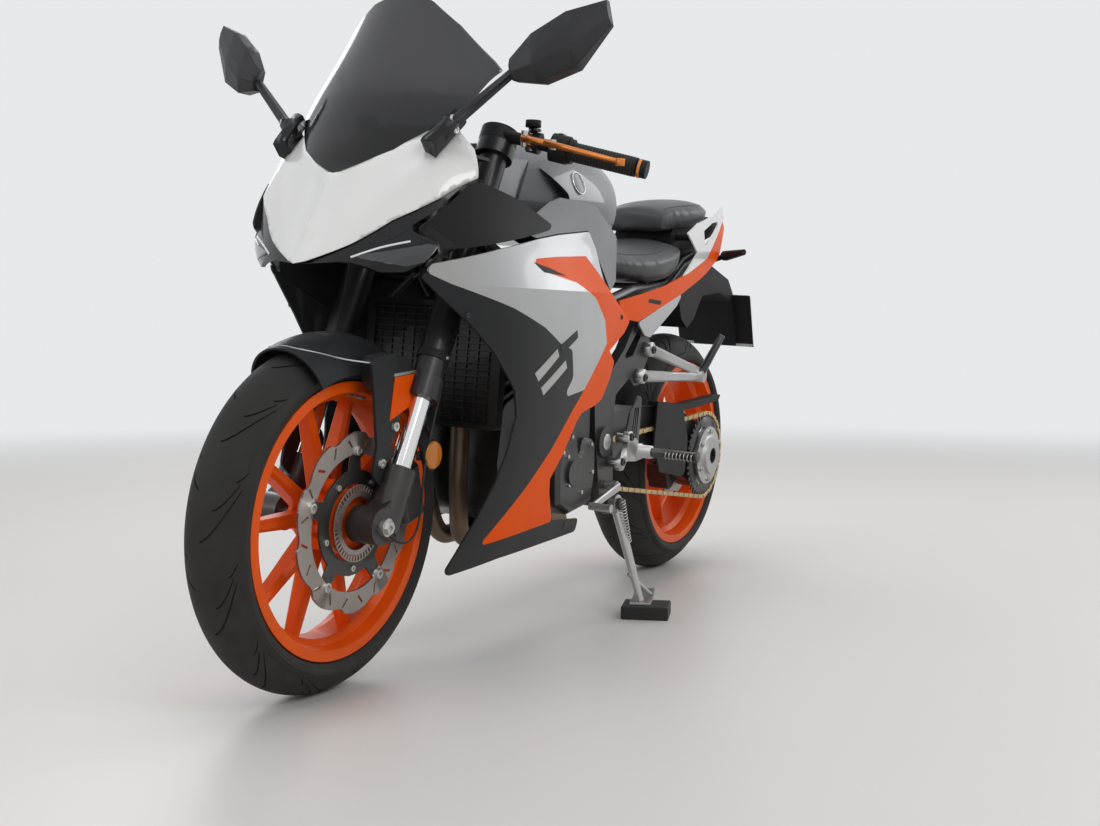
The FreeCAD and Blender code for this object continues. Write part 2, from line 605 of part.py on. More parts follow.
def engine():
    case = slab([(2, 300), (6, 420), (30, 505), (150, 520), (285, 470), (300, 360), (280, 262), (200, 232),
                 (20, 240)], -104, 104, 24)
    ear = slab([(30, 236), (-50, 236), (-58, 260), (-50, 288), (30, 300)], -50, 50, 8)
    barrel_block = slab([(105, 500), (165, 640), (290, 600), (268, 450)], -92, 92, 14)
    head = slab([(158, 628), (180, 690), (312, 645), (290, 585)], -98, 98, 12)
    fins = [slab([(98, 520 + k * 26), (102, 526 + k * 26), (310, 452 + k * 26), (306, 446 + k * 26)], -104, 104)
            for k in range(4)]
    shaft = across(FRONT_SPROCKET[0], FRONT_SPROCKET[1], 8, 60, SPROCKET_WHEEL_Y)
    stays = [rod(V(270, side * 100, 300), V(270, side * 300, 300), 7) for side in (1, -1)]
    solid = join([case, ear, barrel_block, head, shaft] + fins + stays).cut(side_cut(FIT))
    nodes["engine_block"] = solid.cut(across(ENGINE_MOUNT[0], ENGINE_MOUNT[1], 14 + FIT, -60, 60))
    left = slab([(78, 350), (112, 455), (165, 410), (172, 330), (165, 270), (120, 248), (20, 262), (8, 330), (14, 392),
                 (60, 400)], 104 + FIT, 168, 14)
    left = left.makeChamfer(8, [e for e in left.Edges if e.BoundBox.YMin > 167.9])
    cover = slab([(14, 385), (18, 475), (60, 512), (118, 500), (124, 440), (90, 360)], 104 + FIT, 152, 12)
    boss = across(112, 332, 26, 160, 174)
    chain_room = across(FRONT_SPROCKET[0], FRONT_SPROCKET[1], FRONT_PITCH_RADIUS + CHAIN_HALF + 5, 100,
                        CHAIN_Y + CHAIN_WIDTH / 2 + 4)
    right = across(80, 350, 84, -172, -104 - FIT)
    right = right.makeChamfer(10, [e for e in right.Edges if e.BoundBox.YMax < -171.9])
    right_boss = across(190, 345, 50, -150, -104 - FIT)
    nodes["engine_covers"] = Part.makeCompound([join([left, cover, boss]).cut(chain_room), join([right, right_boss])])


RADIATOR_Z = (430.0, 660.0)
RADIATOR_X = 362.0


def radiator():
    z0, z1 = RADIATOR_Z
    core = front_slab([(-150, z0), (-150, z1), (150, z1), (150, z0)], 0, 22, 8)
    rim = core.cut(front_slab([(-132, z0 + 10), (-132, z1 - 10), (132, z1 - 10), (132, z0 + 10)], -1, 23))
    fins = [box((3, 19), (-133, 133), (z0 + 10 + 12 * k, z0 + 13 + 12 * k)) for k in range(1, 18)]
    tubes = [box((6, 16), (-122.0 + 24 * k, -118.0 + 24 * k), (z0 + 8, z1 - 8)) for k in range(11)]
    back = box((8, 13), (-133, 133), (z0 + 8, z1 - 8))
    solid = join([rim, back] + fins + tubes)
    solid.rotate(V(0, 0, 530), V(0, 1, 0), -4)
    solid.translate(V(RADIATOR_X, 0, 0))
    for side in (1, -1):
        stay = bar(V(368, side * 118, 648), V(268, side * 110, 718), (14, 8), (14, 8), V(0, 1, 0))
        solid = solid.fuse(stay.cut(bent_tube(on_side(LOWER_TUBE, side), LOWER_TUBE_RADIUS + FIT, 60)))
    nodes["radiator"] = solid


def exhaust():
    pipes = [bent_tube([(300, y, 612), (338, y, 588), (336, y, 330), (296, y * 0.6, 205), (150, y * 0.5 - 20, 200)],
                       18, 60) for y in (42, -42)]
    box_part = slab([(160, 180), (160, 226), (-60, 230), (-90, 200), (-60, 178)], -80, 60, 18)
    start, end = V(-285, -160, 366), V(-640, -172, 470)
    way = end - start
    way.normalize()
    link = bent_tube([(-60, -60, 205), (-150, -110, 230), tuple(start - way * 60), tuple(start)], 22, 90)
    nodes["exhaust_pipes"] = join(pipes + [box_part, link]).cut(nodes["engine_block"])
    can = join([cone(start, start + way * 60, 30, 50), rod(start + way * 60, end - way * 40, 50),
                cone(end - way * 40, end, 50, 40)])
    can = can.cut(rod(end - way * 50, end + way * 5, 24))
    lug = bar(start + way * 230 + V(0, 20, 40), V(-420, -140, 520), (30, 8), (30, 8), V(1, 0, 0))
    nodes["silencer"] = join([can, lug])


def swingarm():
    pivot = across(PIVOT[0], PIVOT[1], PIVOT_RADIUS, FIT - PLATE_Y[0], 104)
    collar = across(PIVOT[0], PIVOT[1], 21, 100, PLATE_Y[0] - FIT)
    front = slab([(-56, 371), (-130, 428), (-330, 440), (-345, 345), (-150, 306), (-56, 305)], -96, 104, 18)
    arm = slab([(-300, 440), (-520, 430), (REAR_X + 20, REAR_RADIUS + 82), (REAR_X, REAR_RADIUS - 82),
                (-600, 250), (-520, 286), (-320, 350)], 84, ARM_Y, 20)
    housing = turned([(62, HUB_SHAFT_RADIUS + 1), (62, HUB_HOUSING_RADIUS - 8), (70, HUB_HOUSING_RADIUS),
                      (ARM_Y, HUB_HOUSING_RADIUS), (ARM_Y, HUB_SHAFT_RADIUS + 1)], REAR_AXLE)
    ears = [slab([(-215, 430), (-205, 478), (-245, 478), (-260, 430)], y - 6, y + 6, 8) for y in (-22, 22)]
    solid = join([pivot, collar, front, arm, housing] + ears)
    solid = solid.cut(across(REAR_X, REAR_RADIUS, HUB_SHAFT_RADIUS + 1, 0, 200))
    solid = solid.cut(across(PIVOT[0], PIVOT[1], PIVOT_SHAFT + FIT, -200, 200))
    nodes["swingarm"] = solid.cut(across(SHOCK_FOOT[0], SHOCK_FOOT[1], 6, -40, 40))


def tangent_loop(centre_a, radius_a, centre_b, radius_b, y):
    """A belt outline round two circles in a plane square to Y."""
    ax, az = centre_a
    bx, bz = centre_b
    distance = math.hypot(bx - ax, bz - az)
    lie = math.atan2(bz - az, bx - ax)
    open_angle = math.acos((radius_a - radius_b) / distance)

    def at(cx, cz, r, a):
        return V(cx + r * math.cos(a), y, cz + r * math.sin(a))
    up, down = lie + open_angle, lie - open_angle
    return Part.Wire([
        Part.makeLine(at(ax, az, radius_a, up), at(bx, bz, radius_b, up)),
        arc(at(bx, bz, radius_b, up), at(bx, bz, radius_b, lie), at(bx, bz, radius_b, down)),
        Part.makeLine(at(bx, bz, radius_b, down), at(ax, az, radius_a, down)),
        arc(at(ax, az, radius_a, down), at(ax, az, radius_a, lie + math.pi), at(ax, az, radius_a, up))])


def chain():
    rear = (REAR_X, REAR_RADIUS)
    y0 = CHAIN_Y - CHAIN_WIDTH / 2
    outline = []
    for grow in (CHAIN_HALF, -CHAIN_HALF):
        wire = tangent_loop(rear, REAR_PITCH_RADIUS + grow, FRONT_SPROCKET, FRONT_PITCH_RADIUS + grow, y0)
        outline.append(Part.Face(wire).extrude(V(0, CHAIN_WIDTH, 0)))
    band = outline[0].cut(outline[1])
    wheel = across(FRONT_SPROCKET[0], FRONT_SPROCKET[1], FRONT_PITCH_RADIUS - CHAIN_HALF, SPROCKET_WHEEL_Y,
                   y0 + CHAIN_WIDTH)
    nodes["drive_chain"] = join([band, wheel])


def chain_guard():
    plate = slab([(-360, 450), (-505, 436), (-552, 350), (-545, 268), (-520, 262), (-392, 284), (-352, 350)],
                 CHAIN_Y + 8, CHAIN_Y + 12, 14)
    shelf = slab([(-358, 452), (-505, 438), (-755, 452), (-740, 436), (-560, 424), (-505, 424), (-360, 440)],
                 ARM_Y, CHAIN_Y + 12, 3)
    nodes["chain_guard"] = join([plate, shelf])


def rear_shock():
    low, high = V(SHOCK_FOOT[0], 0, SHOCK_FOOT[1]), V(SHOCK_TOP[0], 0, SHOCK_TOP[1])
    way = high - low
    length = way.Length
    way.normalize()
    body = join([across(low.x, low.z, 13, -15, 15), across(high.x, high.z, 25, -16, 16),
                 rod(low, low + way * (length - 20), 8), rod(low + way * 176, high - way * 18, 22)])
    turns, pitch, wire = 8, 18.0, 5.0
    seat = 30.0
    coil = []
    for k in range(turns):
        foot = low + way * (seat + 10 + k * pitch)
        coil.append(cone(foot, foot + way * wire, 24, 30))
        coil.append(cone(foot + way * wire, foot + way * 2 * wire, 30, 24))
        coil.append(rod(foot + way * 2 * wire, foot + way * pitch, 24))
    top = seat + 10 + turns * pitch
    seats = [rod(low + way * seat, low + way * (seat + 10), 34), rod(low + way * top, low + way * (top + 10), 34)]
    pin = across(low.x, low.z, 5.7, -30, 30)
    solid = join([body, pin] + seats + coil)
    nodes["rear_shock"] = solid.cut(across(high.x, high.z, 15 + FIT, -40, 40))


def rear_caliper():
    lay = math.radians(-28)
    reach = REAR_DISC_RADIUS - 12
    x, z = REAR_X + reach * math.cos(lay), REAR_RADIUS + reach * math.sin(lay)
    body = box((-26, 26), (REAR_DISC_Y - 26, 80), (-34, 34))
    body = body.makeChamfer(6, body.Edges)
    slot = box((-60, 14), (REAR_DISC_Y - PAD_GAP, REAR_DISC_Y + 4 + PAD_GAP), (-60, 60))
    solid = body.cut(slot)
    solid.rotate(V(0, 0, 0), V(0, 1, 0), -math.degrees(lay))
    solid.translate(V(x, 0, z))
    nodes["rear_caliper"] = solid.cut(across(REAR_X, REAR_RADIUS, HUB_HOUSING_RADIUS + FIT, 55, 90))


# Side bodywork: one outer surface, cut into the real panels by their side outlines

PANEL_LEVELS = (860.0, 780.0, 690.0, 430.0, 180.0)
PANEL_STATIONS = (
    # x, then y at each level from the top down
    (700.0, 168.0, 160.0, 128.0, 96.0, 100.0),
    (600.0, 206.0, 196.0, 178.0, 142.0, 140.0),
    (480.0, 208.0, 209.0, 217.0, 194.0, 160.0),
    (340.0, 198.0, 206.0, 228.0, 212.0, 166.0),
    (200.0, 186.0, 196.0, 222.0, 208.0, 166.0),
    (60.0, 172.0, 184.0, 202.0, 198.0, 162.0),
    (-100.0, 150.0, 164.0, 180.0, 184.0, 156.0),
)


def side_surface(wall, shift=0.0):
    """Closed shell of the left side, wall thick, moved outwards by shift."""
    wires = []
    for x, *across_y in PANEL_STATIONS:
        outer = [V(x, y + shift, z) for y, z in zip(across_y, PANEL_LEVELS)]
        inner = [p - V(0, wall, 0) for p in outer]
        wires.append(Part.Wire([
            arc(*outer[0:3]), arc(*outer[2:5]), Part.makeLine(outer[4], inner[4]),
            arc(inner[4], inner[3], inner[2]), arc(inner[2], inner[1], inner[0]),
            Part.makeLine(inner[0], outer[0])]))
    return Part.makeLoft(wires, True, False)


SILVER = [(672, 714), (504, 752), (373, 777), (284, 790), (130, 806), (104, 776), (60, 640), (30, 560), (150, 505),
          (262, 492), (228, 529), (246, 582), (290, 590), (361, 622), (463, 655), (600, 690)]
ORANGE_HIGH = [(416, 740), (300, 750), (162, 758), (43, 691), (-82, 637), (-46, 612), (45, 576), (64, 590),
               (83, 637), (143, 678), (234, 706), (343, 719)]
ORANGE_LOW = [(64, 592), (39, 572), (13, 553), (33, 520), (70, 480), (99, 470), (167, 458), (186, 442), (225, 383),
              (262, 338), (253, 310), (215, 250), (292, 246), (466, 235), (345, 337), (281, 395), (219, 460),
              (150, 520)]
SIDE_PANEL = [(604, 850), (575, 856), (440, 838), (316, 806), (330, 796), (434, 776), (560, 754), (640, 742),
              (690, 772)]
CHARCOAL = [(672, 712), (621, 674), (549, 623), (496, 578), (436, 513), (421, 465), (431, 405), (450, 346),
            (482, 285), (522, 225), (549, 190), (396, 203), (234, 209), (92, 213), (92, 240), (215, 252),
            (262, 320), (200, 440), (40, 560), (120, 600), (300, 660), (600, 700)]


def fairings():
    shell = side_surface(SKIN)
    regions = {name: slab(outline, 40, 300, corner) for name, outline, corner in (
        ("silver", SILVER, 14), ("high", ORANGE_HIGH, 6), ("low", ORANGE_LOW, 6), ("charcoal", CHARCOAL, 10))}
    high = shell.common(regions["high"])
    low = shell.common(regions["low"]).cut(regions["high"])
    silver = shell.common(regions["silver"]).cut(regions["high"]).cut(regions["low"])
    black = shell.common(regions["charcoal"]).cut(regions["silver"]).cut(regions["high"]).cut(regions["low"])
    left_black = largest(black).fuse(belly_flange())
    nodes["fairing_left_upper"] = largest(silver)
    nodes["fairing_right_upper"] = flip(largest(silver))
    nodes["fairing_left_lower"] = left_black
    nodes["fairing_right_lower"] = flip(left_black)
    trims = [largest(high), largest(low)]
    nodes["orange_trims"] = Part.makeCompound(trims + [flip(s) for s in trims])
    cover = side_surface(SKIN, -2.0).common(slab(
        [(440, 790), (300, 850), (213, 872), (76, 858), (-30, 806), (0, 716), (44, 694), (110, 780), (130, 808),
         (284, 792), (373, 779)], 40, 300, 10)).cut(regions["silver"]).cut(regions["high"])
    nodes["tank_covers"] = both(largest(cover))
    tri = side_surface(SKIN, 5.0).common(slab(SIDE_PANEL, 40, 300, 8))
    nodes["side_panels"] = both(largest(tri))


def largest(shape):
    solids = sorted(shape.Solids, key=lambda s: s.Volume)
    return solids[-1] if solids else shape


def belly_flange():
    """The lower edge of the left panel turns inwards under the engine."""
    lip = slab([(430, 206), (235, 213), (96, 217), (96, 221), (235, 217), (430, 210)], 122, 300)
    return lip.cut(side_cut(-1.0))


def side_cut(clearance):
    """What lies outside the inner faces of the side panels, less a clearance."""
    wires = []
    for x, *across_y in PANEL_STATIONS:
        inner = [V(x, y - SKIN - clearance, z) for y, z in zip(across_y, PANEL_LEVELS)]
        wires.append(Part.Wire([
            arc(*inner[0:3]), arc(*inner[2:5]), Part.makeLine(inner[4], V(x, 320, PANEL_LEVELS[4])),
            Part.makeLine(V(x, 320, PANEL_LEVELS[4]), V(x, 320, PANEL_LEVELS[0])),
            Part.makeLine(V(x, 320, PANEL_LEVELS[0]), inner[0])]))
    outside = Part.makeLoft(wires, True, False)
    return Part.makeCompound([outside, flip(outside)])


# Nose: level sections from the chin up to the screen

NOSE_SECTIONS = (
    # z, tip x, then (x, y) of the brow, the cheek and the rear corner
    (690.0, 789.0, (764.0, 58.0), (722.0, 112.0), (600.0, 156.0)),
    (823.0, 712.0, (693.0, 100.0), (648.0, 183.0), (590.0, 213.0)),
    (862.0, 690.0, (673.0, 96.0), (640.0, 165.0), (590.0, 214.0)),
    (930.0, 653.0, (638.0, 80.0), (610.0, 130.0), (560.0, 180.0)),
    (1010.0, 609.0, (597.0, 68.0), (572.0, 112.0), (535.0, 166.0)),
)


def nose_form(inset, grow=0.0):
    wires = []
    for i, (z, tip, brow, cheek, rear) in enumerate(NOSE_SECTIONS):
        if i == 0:
            z = z - grow
        if i == len(NOSE_SECTIONS) - 1:
            z = z + grow
        back = 520.0 - grow
        points = [V(tip - inset, 0, z), V(brow[0] - inset, brow[1] - inset * 0.5, z),
                  V(cheek[0] - inset, cheek[1] - inset * 0.8, z), V(rear[0], rear[1] - inset, z),
                  V(back, rear[1] - inset - 4, z)]
        other = [V(p.x, -p.y, p.z) for p in points]
        wires.append(Part.Wire([
            arc(points[0], points[1], points[2]), Part.makeLine(points[2], points[3]),
            Part.makeLine(points[3], points[4]), Part.makeLine(points[4], other[4]),
            Part.makeLine(other[4], other[3]), Part.makeLine(other[3], other[2]),
            arc(other[2], other[1], other[0])]))
    return Part.makeLoft(wires, True, False)


SCREEN_EDGE = [(0, 858), (45, 877), (90, 901), (130, 941), (160, 972), (166, 994), (172, 1056), (160, 1072),
               (110, 1127), (60, 1168), (28, 1176)]
NOSE_UNDER = [(772, 716), (740, 745), (700, 785), (648, 825), (590, 862)]


def nose():
    outer = nose_form(0)
    shell = outer.cut(nose_form(SKIN, 5))
    side = slab(NOSE_UNDER + [(572, 909), (560, 985), (540, 1020), (900, 1020), (900, 716)], -300, 300, 3)
    opening = front_slab([(y, z) for y, z in SCREEN_EDGE[:6]] + [(166, 1200), (-166, 1200)] +
                         [(-y, z) for y, z in reversed(SCREEN_EDGE[1:6])], 300, 900, 6)
    nodes["nose_fairing"] = shell.common(side).cut(opening)
    lamp_skin = nose_form(3.0).cut(nose_form(9.0, 5))
    zone = slab([(778, 708), (750, 716), (718, 702), (690, 704), (650, 696), (600, 742), (560, 756), (560, 860), (589, 861)] +
                [(x - FIT / 2, z - FIT / 2) for x, z in reversed(NOSE_UNDER[:4])], -300, 300, 3)
    lens_zone = slab([(751, 724), (670, 752), (636, 741), (650, 728), (694, 712)], -300, 300, 4)
    housing = lamp_skin.common(zone).cut(slab(SIDE_PANEL, -300, 300, 8))
    nodes["headlight_housing"] = housing.cut(lens_zone)
    lens = nose_form(2.0).cut(nose_form(5.0, 5)).common(
        slab([(750, 724), (670, 751.5), (637, 741), (651, 728.5), (694, 713)], 40, 300, 4))
    lens = largest(lens)
    nodes["headlight_lenses"] = both(lens)


SCREEN_SECTIONS = (
    # z, x of the middle, radius of the arc
    (850.0, 697.0, 215.0),
    (941.0, 649.0, 228.0),
    (994.0, 621.0, 215.0),
    (1060.0, 586.0, 180.0),
    (1127.0, 550.0, 152.0),
    (1182.0, 521.0, 140.0),
)


def windscreen():
    wires = []
    half = math.radians(80)
    for z, x, radius in SCREEN_SECTIONS:
        centre = x - radius

        def at(r, a):
            return V(centre + r * math.cos(a), r * math.sin(a), z)
        inner = radius - SCREEN_THICKNESS
        wires.append(Part.Wire([
            arc(at(radius, -half), at(radius, 0), at(radius, half)), Part.makeLine(at(radius, half), at(inner, half)),
            arc(at(inner, half), at(inner, 0), at(inner, -half)), Part.makeLine(at(inner, -half), at(radius, -half))]))
    sheet = Part.makeLoft(wires, True, False)
    outline = SCREEN_EDGE + [(-y, z) for y, z in reversed(SCREEN_EDGE[1:])]
    sheet = sheet.common(front_slab(outline, 400, 900, 8))
    nodes["windscreen"] = largest(sheet).cut(nodes["nose_fairing"])


def dashboard():
    case = box((464, 498), (-82, 82), (872, 968))
    case = case.makeChamfer(8, case.Edges)
    case.rotate(V(481, 0, 920), V(0, 1, 0), -28)
    tray = box((520, 600), (-240, 240), (896, 902)).common(nose_form(SKIN + FIT))
    tray = tray.fuse(box((480, 521), (-150, 150), (896, 902)))
    stay = bar(V(400, 0, 846), V(516, 0, 899), (30, 14), (60, 8), V(0, 1, 0))
    stay = stay.cut(rod(along_axis(HEAD_LOW), along_axis(HEAD_HIGH), HEAD_RADIUS + FIT))
    nodes["dashboard"] = join([case, tray, stay])


def mirrors():
    parts = []
    base = V(606, 158, 938)
    pod = bar(V(640, 150, 905), V(578, 166, 962), (26, 40), (22, 30), V(0, 1, 0))
    stalk = bar(base, V(578, 262, 1030), (22, 16), (16, 13), V(1, 0, 0))
    knuckle = rod(base - V(0, 10, 14), base + V(0, 12, 16), 14)
    rings = (
        # y, x middle, z middle, half height, half thickness
        (262.0, 578.0, 1033.0, 17.0, 13.0),
        (300.0, 566.0, 1052.0, 38.0, 21.0),
        (350.0, 546.0, 1082.0, 44.0, 18.0),
        (401.0, 522.0, 1127.0, 20.0, 7.0),
    )
    wires = []
    for y, x, z, high, deep in rings:
        ring = [(deep, 0.3 * high), (0.5 * deep, high), (-deep, high), (-deep, -high), (0.5 * deep, -high),
                (deep, -0.3 * high)]
        points = [V(x + a, y - 0.25 * b, z + b) for a, b in ring]
        wires.append(Part.makePolygon(points + points[:1]))
    head = Part.makeLoft(wires, True, True)
    solid = join([stalk, knuckle, head, pod])
    solid = solid.cut(nose_form(0.0))
    nodes["mirrors"] = both(largest(solid))


# Tank, seats and tail

TANK_SECTIONS = (
    # x, base z, base half width, waist z, waist half width, shoulder z, shoulder half width, top z
    (340.0, 830.0, 60.0, 856.0, 88.0, 888.0, 78.0, 902.0),
    (280.0, 806.0, 112.0, 862.0, 130.0, 912.0, 106.0, 938.0),
    (150.0, 790.0, 140.0, 880.0, 152.0, 948.0, 112.0, 984.0),
    (0.0, 785.0, 130.0, 890.0, 146.0, 962.0, 96.0, 999.0),
    (-150.0, 780.0, 84.0, 892.0, 108.0, 950.0, 70.0, 980.0),
)
CAP_X = 120.0
CAP_RADIUS = 54.0
LID_THICKNESS = 9.0
LID_GAP = 5.5
LID_KNUCKLE = 4.5
TUBE_ROOM = 3.0


def loft_sections(table):
    wires = []
    for x, zb, wb, zm, wm, zs, ws, zt in table:
        left = [V(x, wb, zb), V(x, wm, zm), V(x, ws, zs)]
        right = [V(x, -p.y, p.z) for p in left]
        wires.append(Part.Wire([arc(*left), arc(left[2], V(x, 0, zt), right[2]),
                                arc(right[2], right[1], right[0]), Part.makeLine(right[0], left[0])]))
    return Part.makeLoft(wires, True, False)


def cap_place():
    """Middle of the filler lid's top face."""
    return V(CAP_X, 0, 988.0)


def lid_hinge():
    """A point on the lid's hinge line, near its front edge."""
    return cap_place() + V(CAP_RADIUS - 3, 0, -6)


def tank():
    form = loft_sections(TANK_SECTIONS)
    rear = slab([(-300, 1050), (-150, 1050), (-147, 970), (-112, 915), (-84, 854), (-60, 806), (-60, 700),
                 (-300, 700)], -300, 300)
    form = form.cut(rear)
    scoop = slab([(360, 830), (380, 950), (240, 925), (150, 872), (170, 826), (270, 812)], 116, 300, 14)
    scoop.rotate(V(270, 116, 870), V(0, 0, 1), -9)
    form = form.cut(scoop).cut(flip(scoop))
    reach = math.hypot(LEG_Y, AXLE_LEAD / 3) + OUTER_TUBE_RADIUS + 9 + STEER_GAP
    recess = steering_sweep(1, reach, -200, 140, 40, 90 + STEER_RANGE + 18)
    root_recess = steering_sweep(1, HEAD_RADIUS + 50, -200, 140, 40, 90 + STEER_RANGE + 40)
    head_room = rod(along_axis(700), along_axis(1000), HEAD_RADIUS + 2 + STEER_GAP)
    tunnel = box((225, 420), (-94, 94), (700, 852))
    for piece in (recess, root_recess):
        form = form.cut(piece).cut(flip(piece))
    for side in (1, -1):
        form = form.cut(bent_tube(on_side(UPPER_TUBE, side), UPPER_TUBE_RADIUS + TUBE_ROOM, 60))
    form = largest(form.cut(head_room).cut(tunnel))
    slope = V(0.08, 0, 1)
    slope.normalize()
    well = Part.makeCylinder(CAP_RADIUS + LID_GAP, 60, cap_place() - slope * LID_THICKNESS, slope)
    neck = Part.makeCylinder(30, 40, cap_place() - slope * 45, slope)
    nodes["fuel_tank"] = form.cut(well).cut(neck)
    lid = Part.makeCylinder(CAP_RADIUS, LID_THICKNESS - FIT, cap_place() - slope * (LID_THICKNESS - FIT), slope)
    hinge = lid_hinge()
    knuckle = across(hinge.x, hinge.z, LID_KNUCKLE, -14, 14)
    nodes["fuel_lid"] = lid.makeChamfer(2, lid.Edges).fuse(knuckle)


def tank_rests():
    """Short posts on the upper tubes that the tank stands on."""
    bed = nodes["fuel_tank"].copy()
    bed.translate(V(0, 0, -FIT))
    solid = nodes["main_frame"]
    for side in (1, -1):
        solid = solid.fuse(rod(V(180, side * 129, 750), V(180, side * 129, 830), 9).cut(bed))
    nodes["main_frame"] = largest(solid)


def seat_form(table):
    """x, base z, half width at the base, half width, side z, crown z."""
    wires = []
    for x, zb, wb, w, zs, zt in table:
        left = [V(x, wb, zb), V(x, w, zs)]
        right = [V(x, -p.y, p.z) for p in left]
        wires.append(Part.Wire([
            Part.makeLine(left[0], left[1]), arc(left[1], V(x, 0, zt), right[1]), Part.makeLine(right[1], right[0]),
            Part.makeLine(right[0], left[0])]))
    return Part.makeLoft(wires, True, False)


def seats():
    nodes["rider_seat"] = seat_form((
        (-64.0, 748.0, 86.0, 92.0, 782.0, 802.0),
        (-160.0, 728.0, 128.0, 134.0, 762.0, 796.0),
        (-300.0, 722.0, 150.0, 156.0, 768.0, 796.0),
        (-420.0, 742.0, 140.0, 148.0, 790.0, 812.0),
        (-520.0, 776.0, 100.0, 108.0, 818.0, 834.0)))
    nodes["pillion_seat"] = seat_form((
        (-452.0, 842.0, 84.0, 86.0, 878.0, 896.0),
        (-540.0, 856.0, 104.0, 108.0, 898.0, 918.0),
        (-650.0, 872.0, 106.0, 110.0, 910.0, 932.0),
        (-746.0, 898.0, 72.0, 78.0, 920.0, 936.0)))


TAIL_LEVELS = (930.0, 800.0, 600.0)
TAIL_STATIONS = (
    # x, y at each level from the top down
    (-20.0, 150.0, 168.0, 178.0),
    (-200.0, 140.0, 164.0, 170.0),
    (-420.0, 124.0, 150.0, 150.0),
    (-620.0, 112.0, 132.0, 130.0),
    (-830.0, 84.0, 96.0, 96.0),
)


def tail_surface(wall, shift=0.0):
    wires = []
    for x, *ys in TAIL_STATIONS:
        outer = [V(x, y + shift, z) for y, z in zip(ys, TAIL_LEVELS)]
        inner = [p - V(0, wall, 0) for p in outer]
        wires.append(Part.Wire([arc(*outer), Part.makeLine(outer[2], inner[2]), arc(inner[2], inner[1], inner[0]),
                                Part.makeLine(inner[0], outer[0])]))
    return Part.makeLoft(wires, True, False)


def tail_outside(clearance):
    """What lies outside the inner faces of the tail panels, less a clearance."""
    wires = []
    for x, *ys in TAIL_STATIONS:
        inner = [V(x, y - SKIN - clearance, z) for y, z in zip(ys, TAIL_LEVELS)]
        wires.append(Part.Wire([arc(*inner), Part.makeLine(inner[2], V(x, 320, TAIL_LEVELS[2])),
                                Part.makeLine(V(x, 320, TAIL_LEVELS[2]), V(x, 320, TAIL_LEVELS[0])),
                                Part.makeLine(V(x, 320, TAIL_LEVELS[0]), inner[0])]))
    outside = Part.makeLoft(wires, True, False)
    return Part.makeCompound([outside, flip(outside)])


def tail():
    strip_zone = slab([(-143, 634), (-425, 702), (-587, 747), (-717, 792), (-748, 808), (-826, 880), (-800, 893),
                       (-614, 790), (-467, 750), (-288, 712), (-40, 676), (-60, 640)], 20, 300, 5)
    low_zone = slab([(-143, 632), (-425, 704), (-387, 672), (-225, 600), (-189, 605)], 20, 300, 5)
    high_zone = slab([(-40, 660), (-300, 700), (-614, 780), (-800, 880), (-824, 905), (-818, 940), (-700, 900),
                      (-560, 872), (-470, 842), (-536, 800), (-420, 738), (-300, 716), (-160, 722), (-68, 742),
                      (-40, 740)], 20, 300, 3)
    window = slab([(-600, 818), (-690, 856), (-766, 892), (-680, 880), (-600, 856)], 20, 300, 6)
    skin = tail_surface(SKIN)
    strip = largest(skin.common(strip_zone))
    low = largest(skin.common(low_zone).cut(strip_zone))
    high = largest(skin.common(high_zone).cut(strip_zone).cut(window))
    nodes["orange_trims"] = Part.makeCompound(nodes["orange_trims"].Solids + [strip, flip(strip)])
    nodes["tail_lower"] = both(low)
    nodes["tail_cowl"] = both(high)


TAIL_END = -812.0


def tail_base():
    """Undertray, the panel mounts, and the plate holder with the indicators."""
    base = slab([(-523, 800), (-523, 846), (-540, 860), (-650, 876), (-745, 900), (TAIL_END, 893), (TAIL_END, 862),
                 (-700, 830), (-600, 812), (-540, 806)], -74, 74, 5)
    body = slab([(-600, 820), (-612, 720), (-650, 640), (-690, 616), (-730, 640), (-780, 700), (-900, 712),
                 (-985, 690), (-1040, 566), (-1052, 572), (-1000, 712), (-960, 748), (-830, 780), (-760, 800),
                 (-740, 846), (-700, 838)], -60, 60, 8)
    solid = base.fuse(body)
    for side in (1, -1):
        for part in (bar(V(-770, side * 50, 780), V(-764, side * 130, 806), (14, 12), (12, 10), V(0, 0, 1)),
                     bar(V(-764, side * 122, 804), V(-700, side * 196, 812), (24, 26), (14, 12), V(0, 0, 1)),
                     rod(V(-560, side * 60, 836), V(-560, side * 300, 836), 7).cut(tail_outside(FIT))):
            solid = solid.fuse(part)
    for name in ("rider_seat", "pillion_seat"):
        bed = nodes[name].copy()
        bed.translate(V(0, 0, -FIT))
        solid = solid.cut(bed)
    nodes["tail_base"] = largest(solid)
    lamp = slab([(TAIL_END - FIT, 866), (TAIL_END - FIT, 890), (-826, 902), (-838, 884), (-830, 866)], -62, 62, 4)
    nodes["tail_light"] = lamp
    plate = box((-1, 1), (-110, 110), (-75, 75))
    plate.rotate(V(0, 0, 0), V(0, 1, 0), 22)
    plate.translate(V(-1026, 0, 638))
    nodes["number_plate"] = plate.cut(body)


# Feet, stand and pad

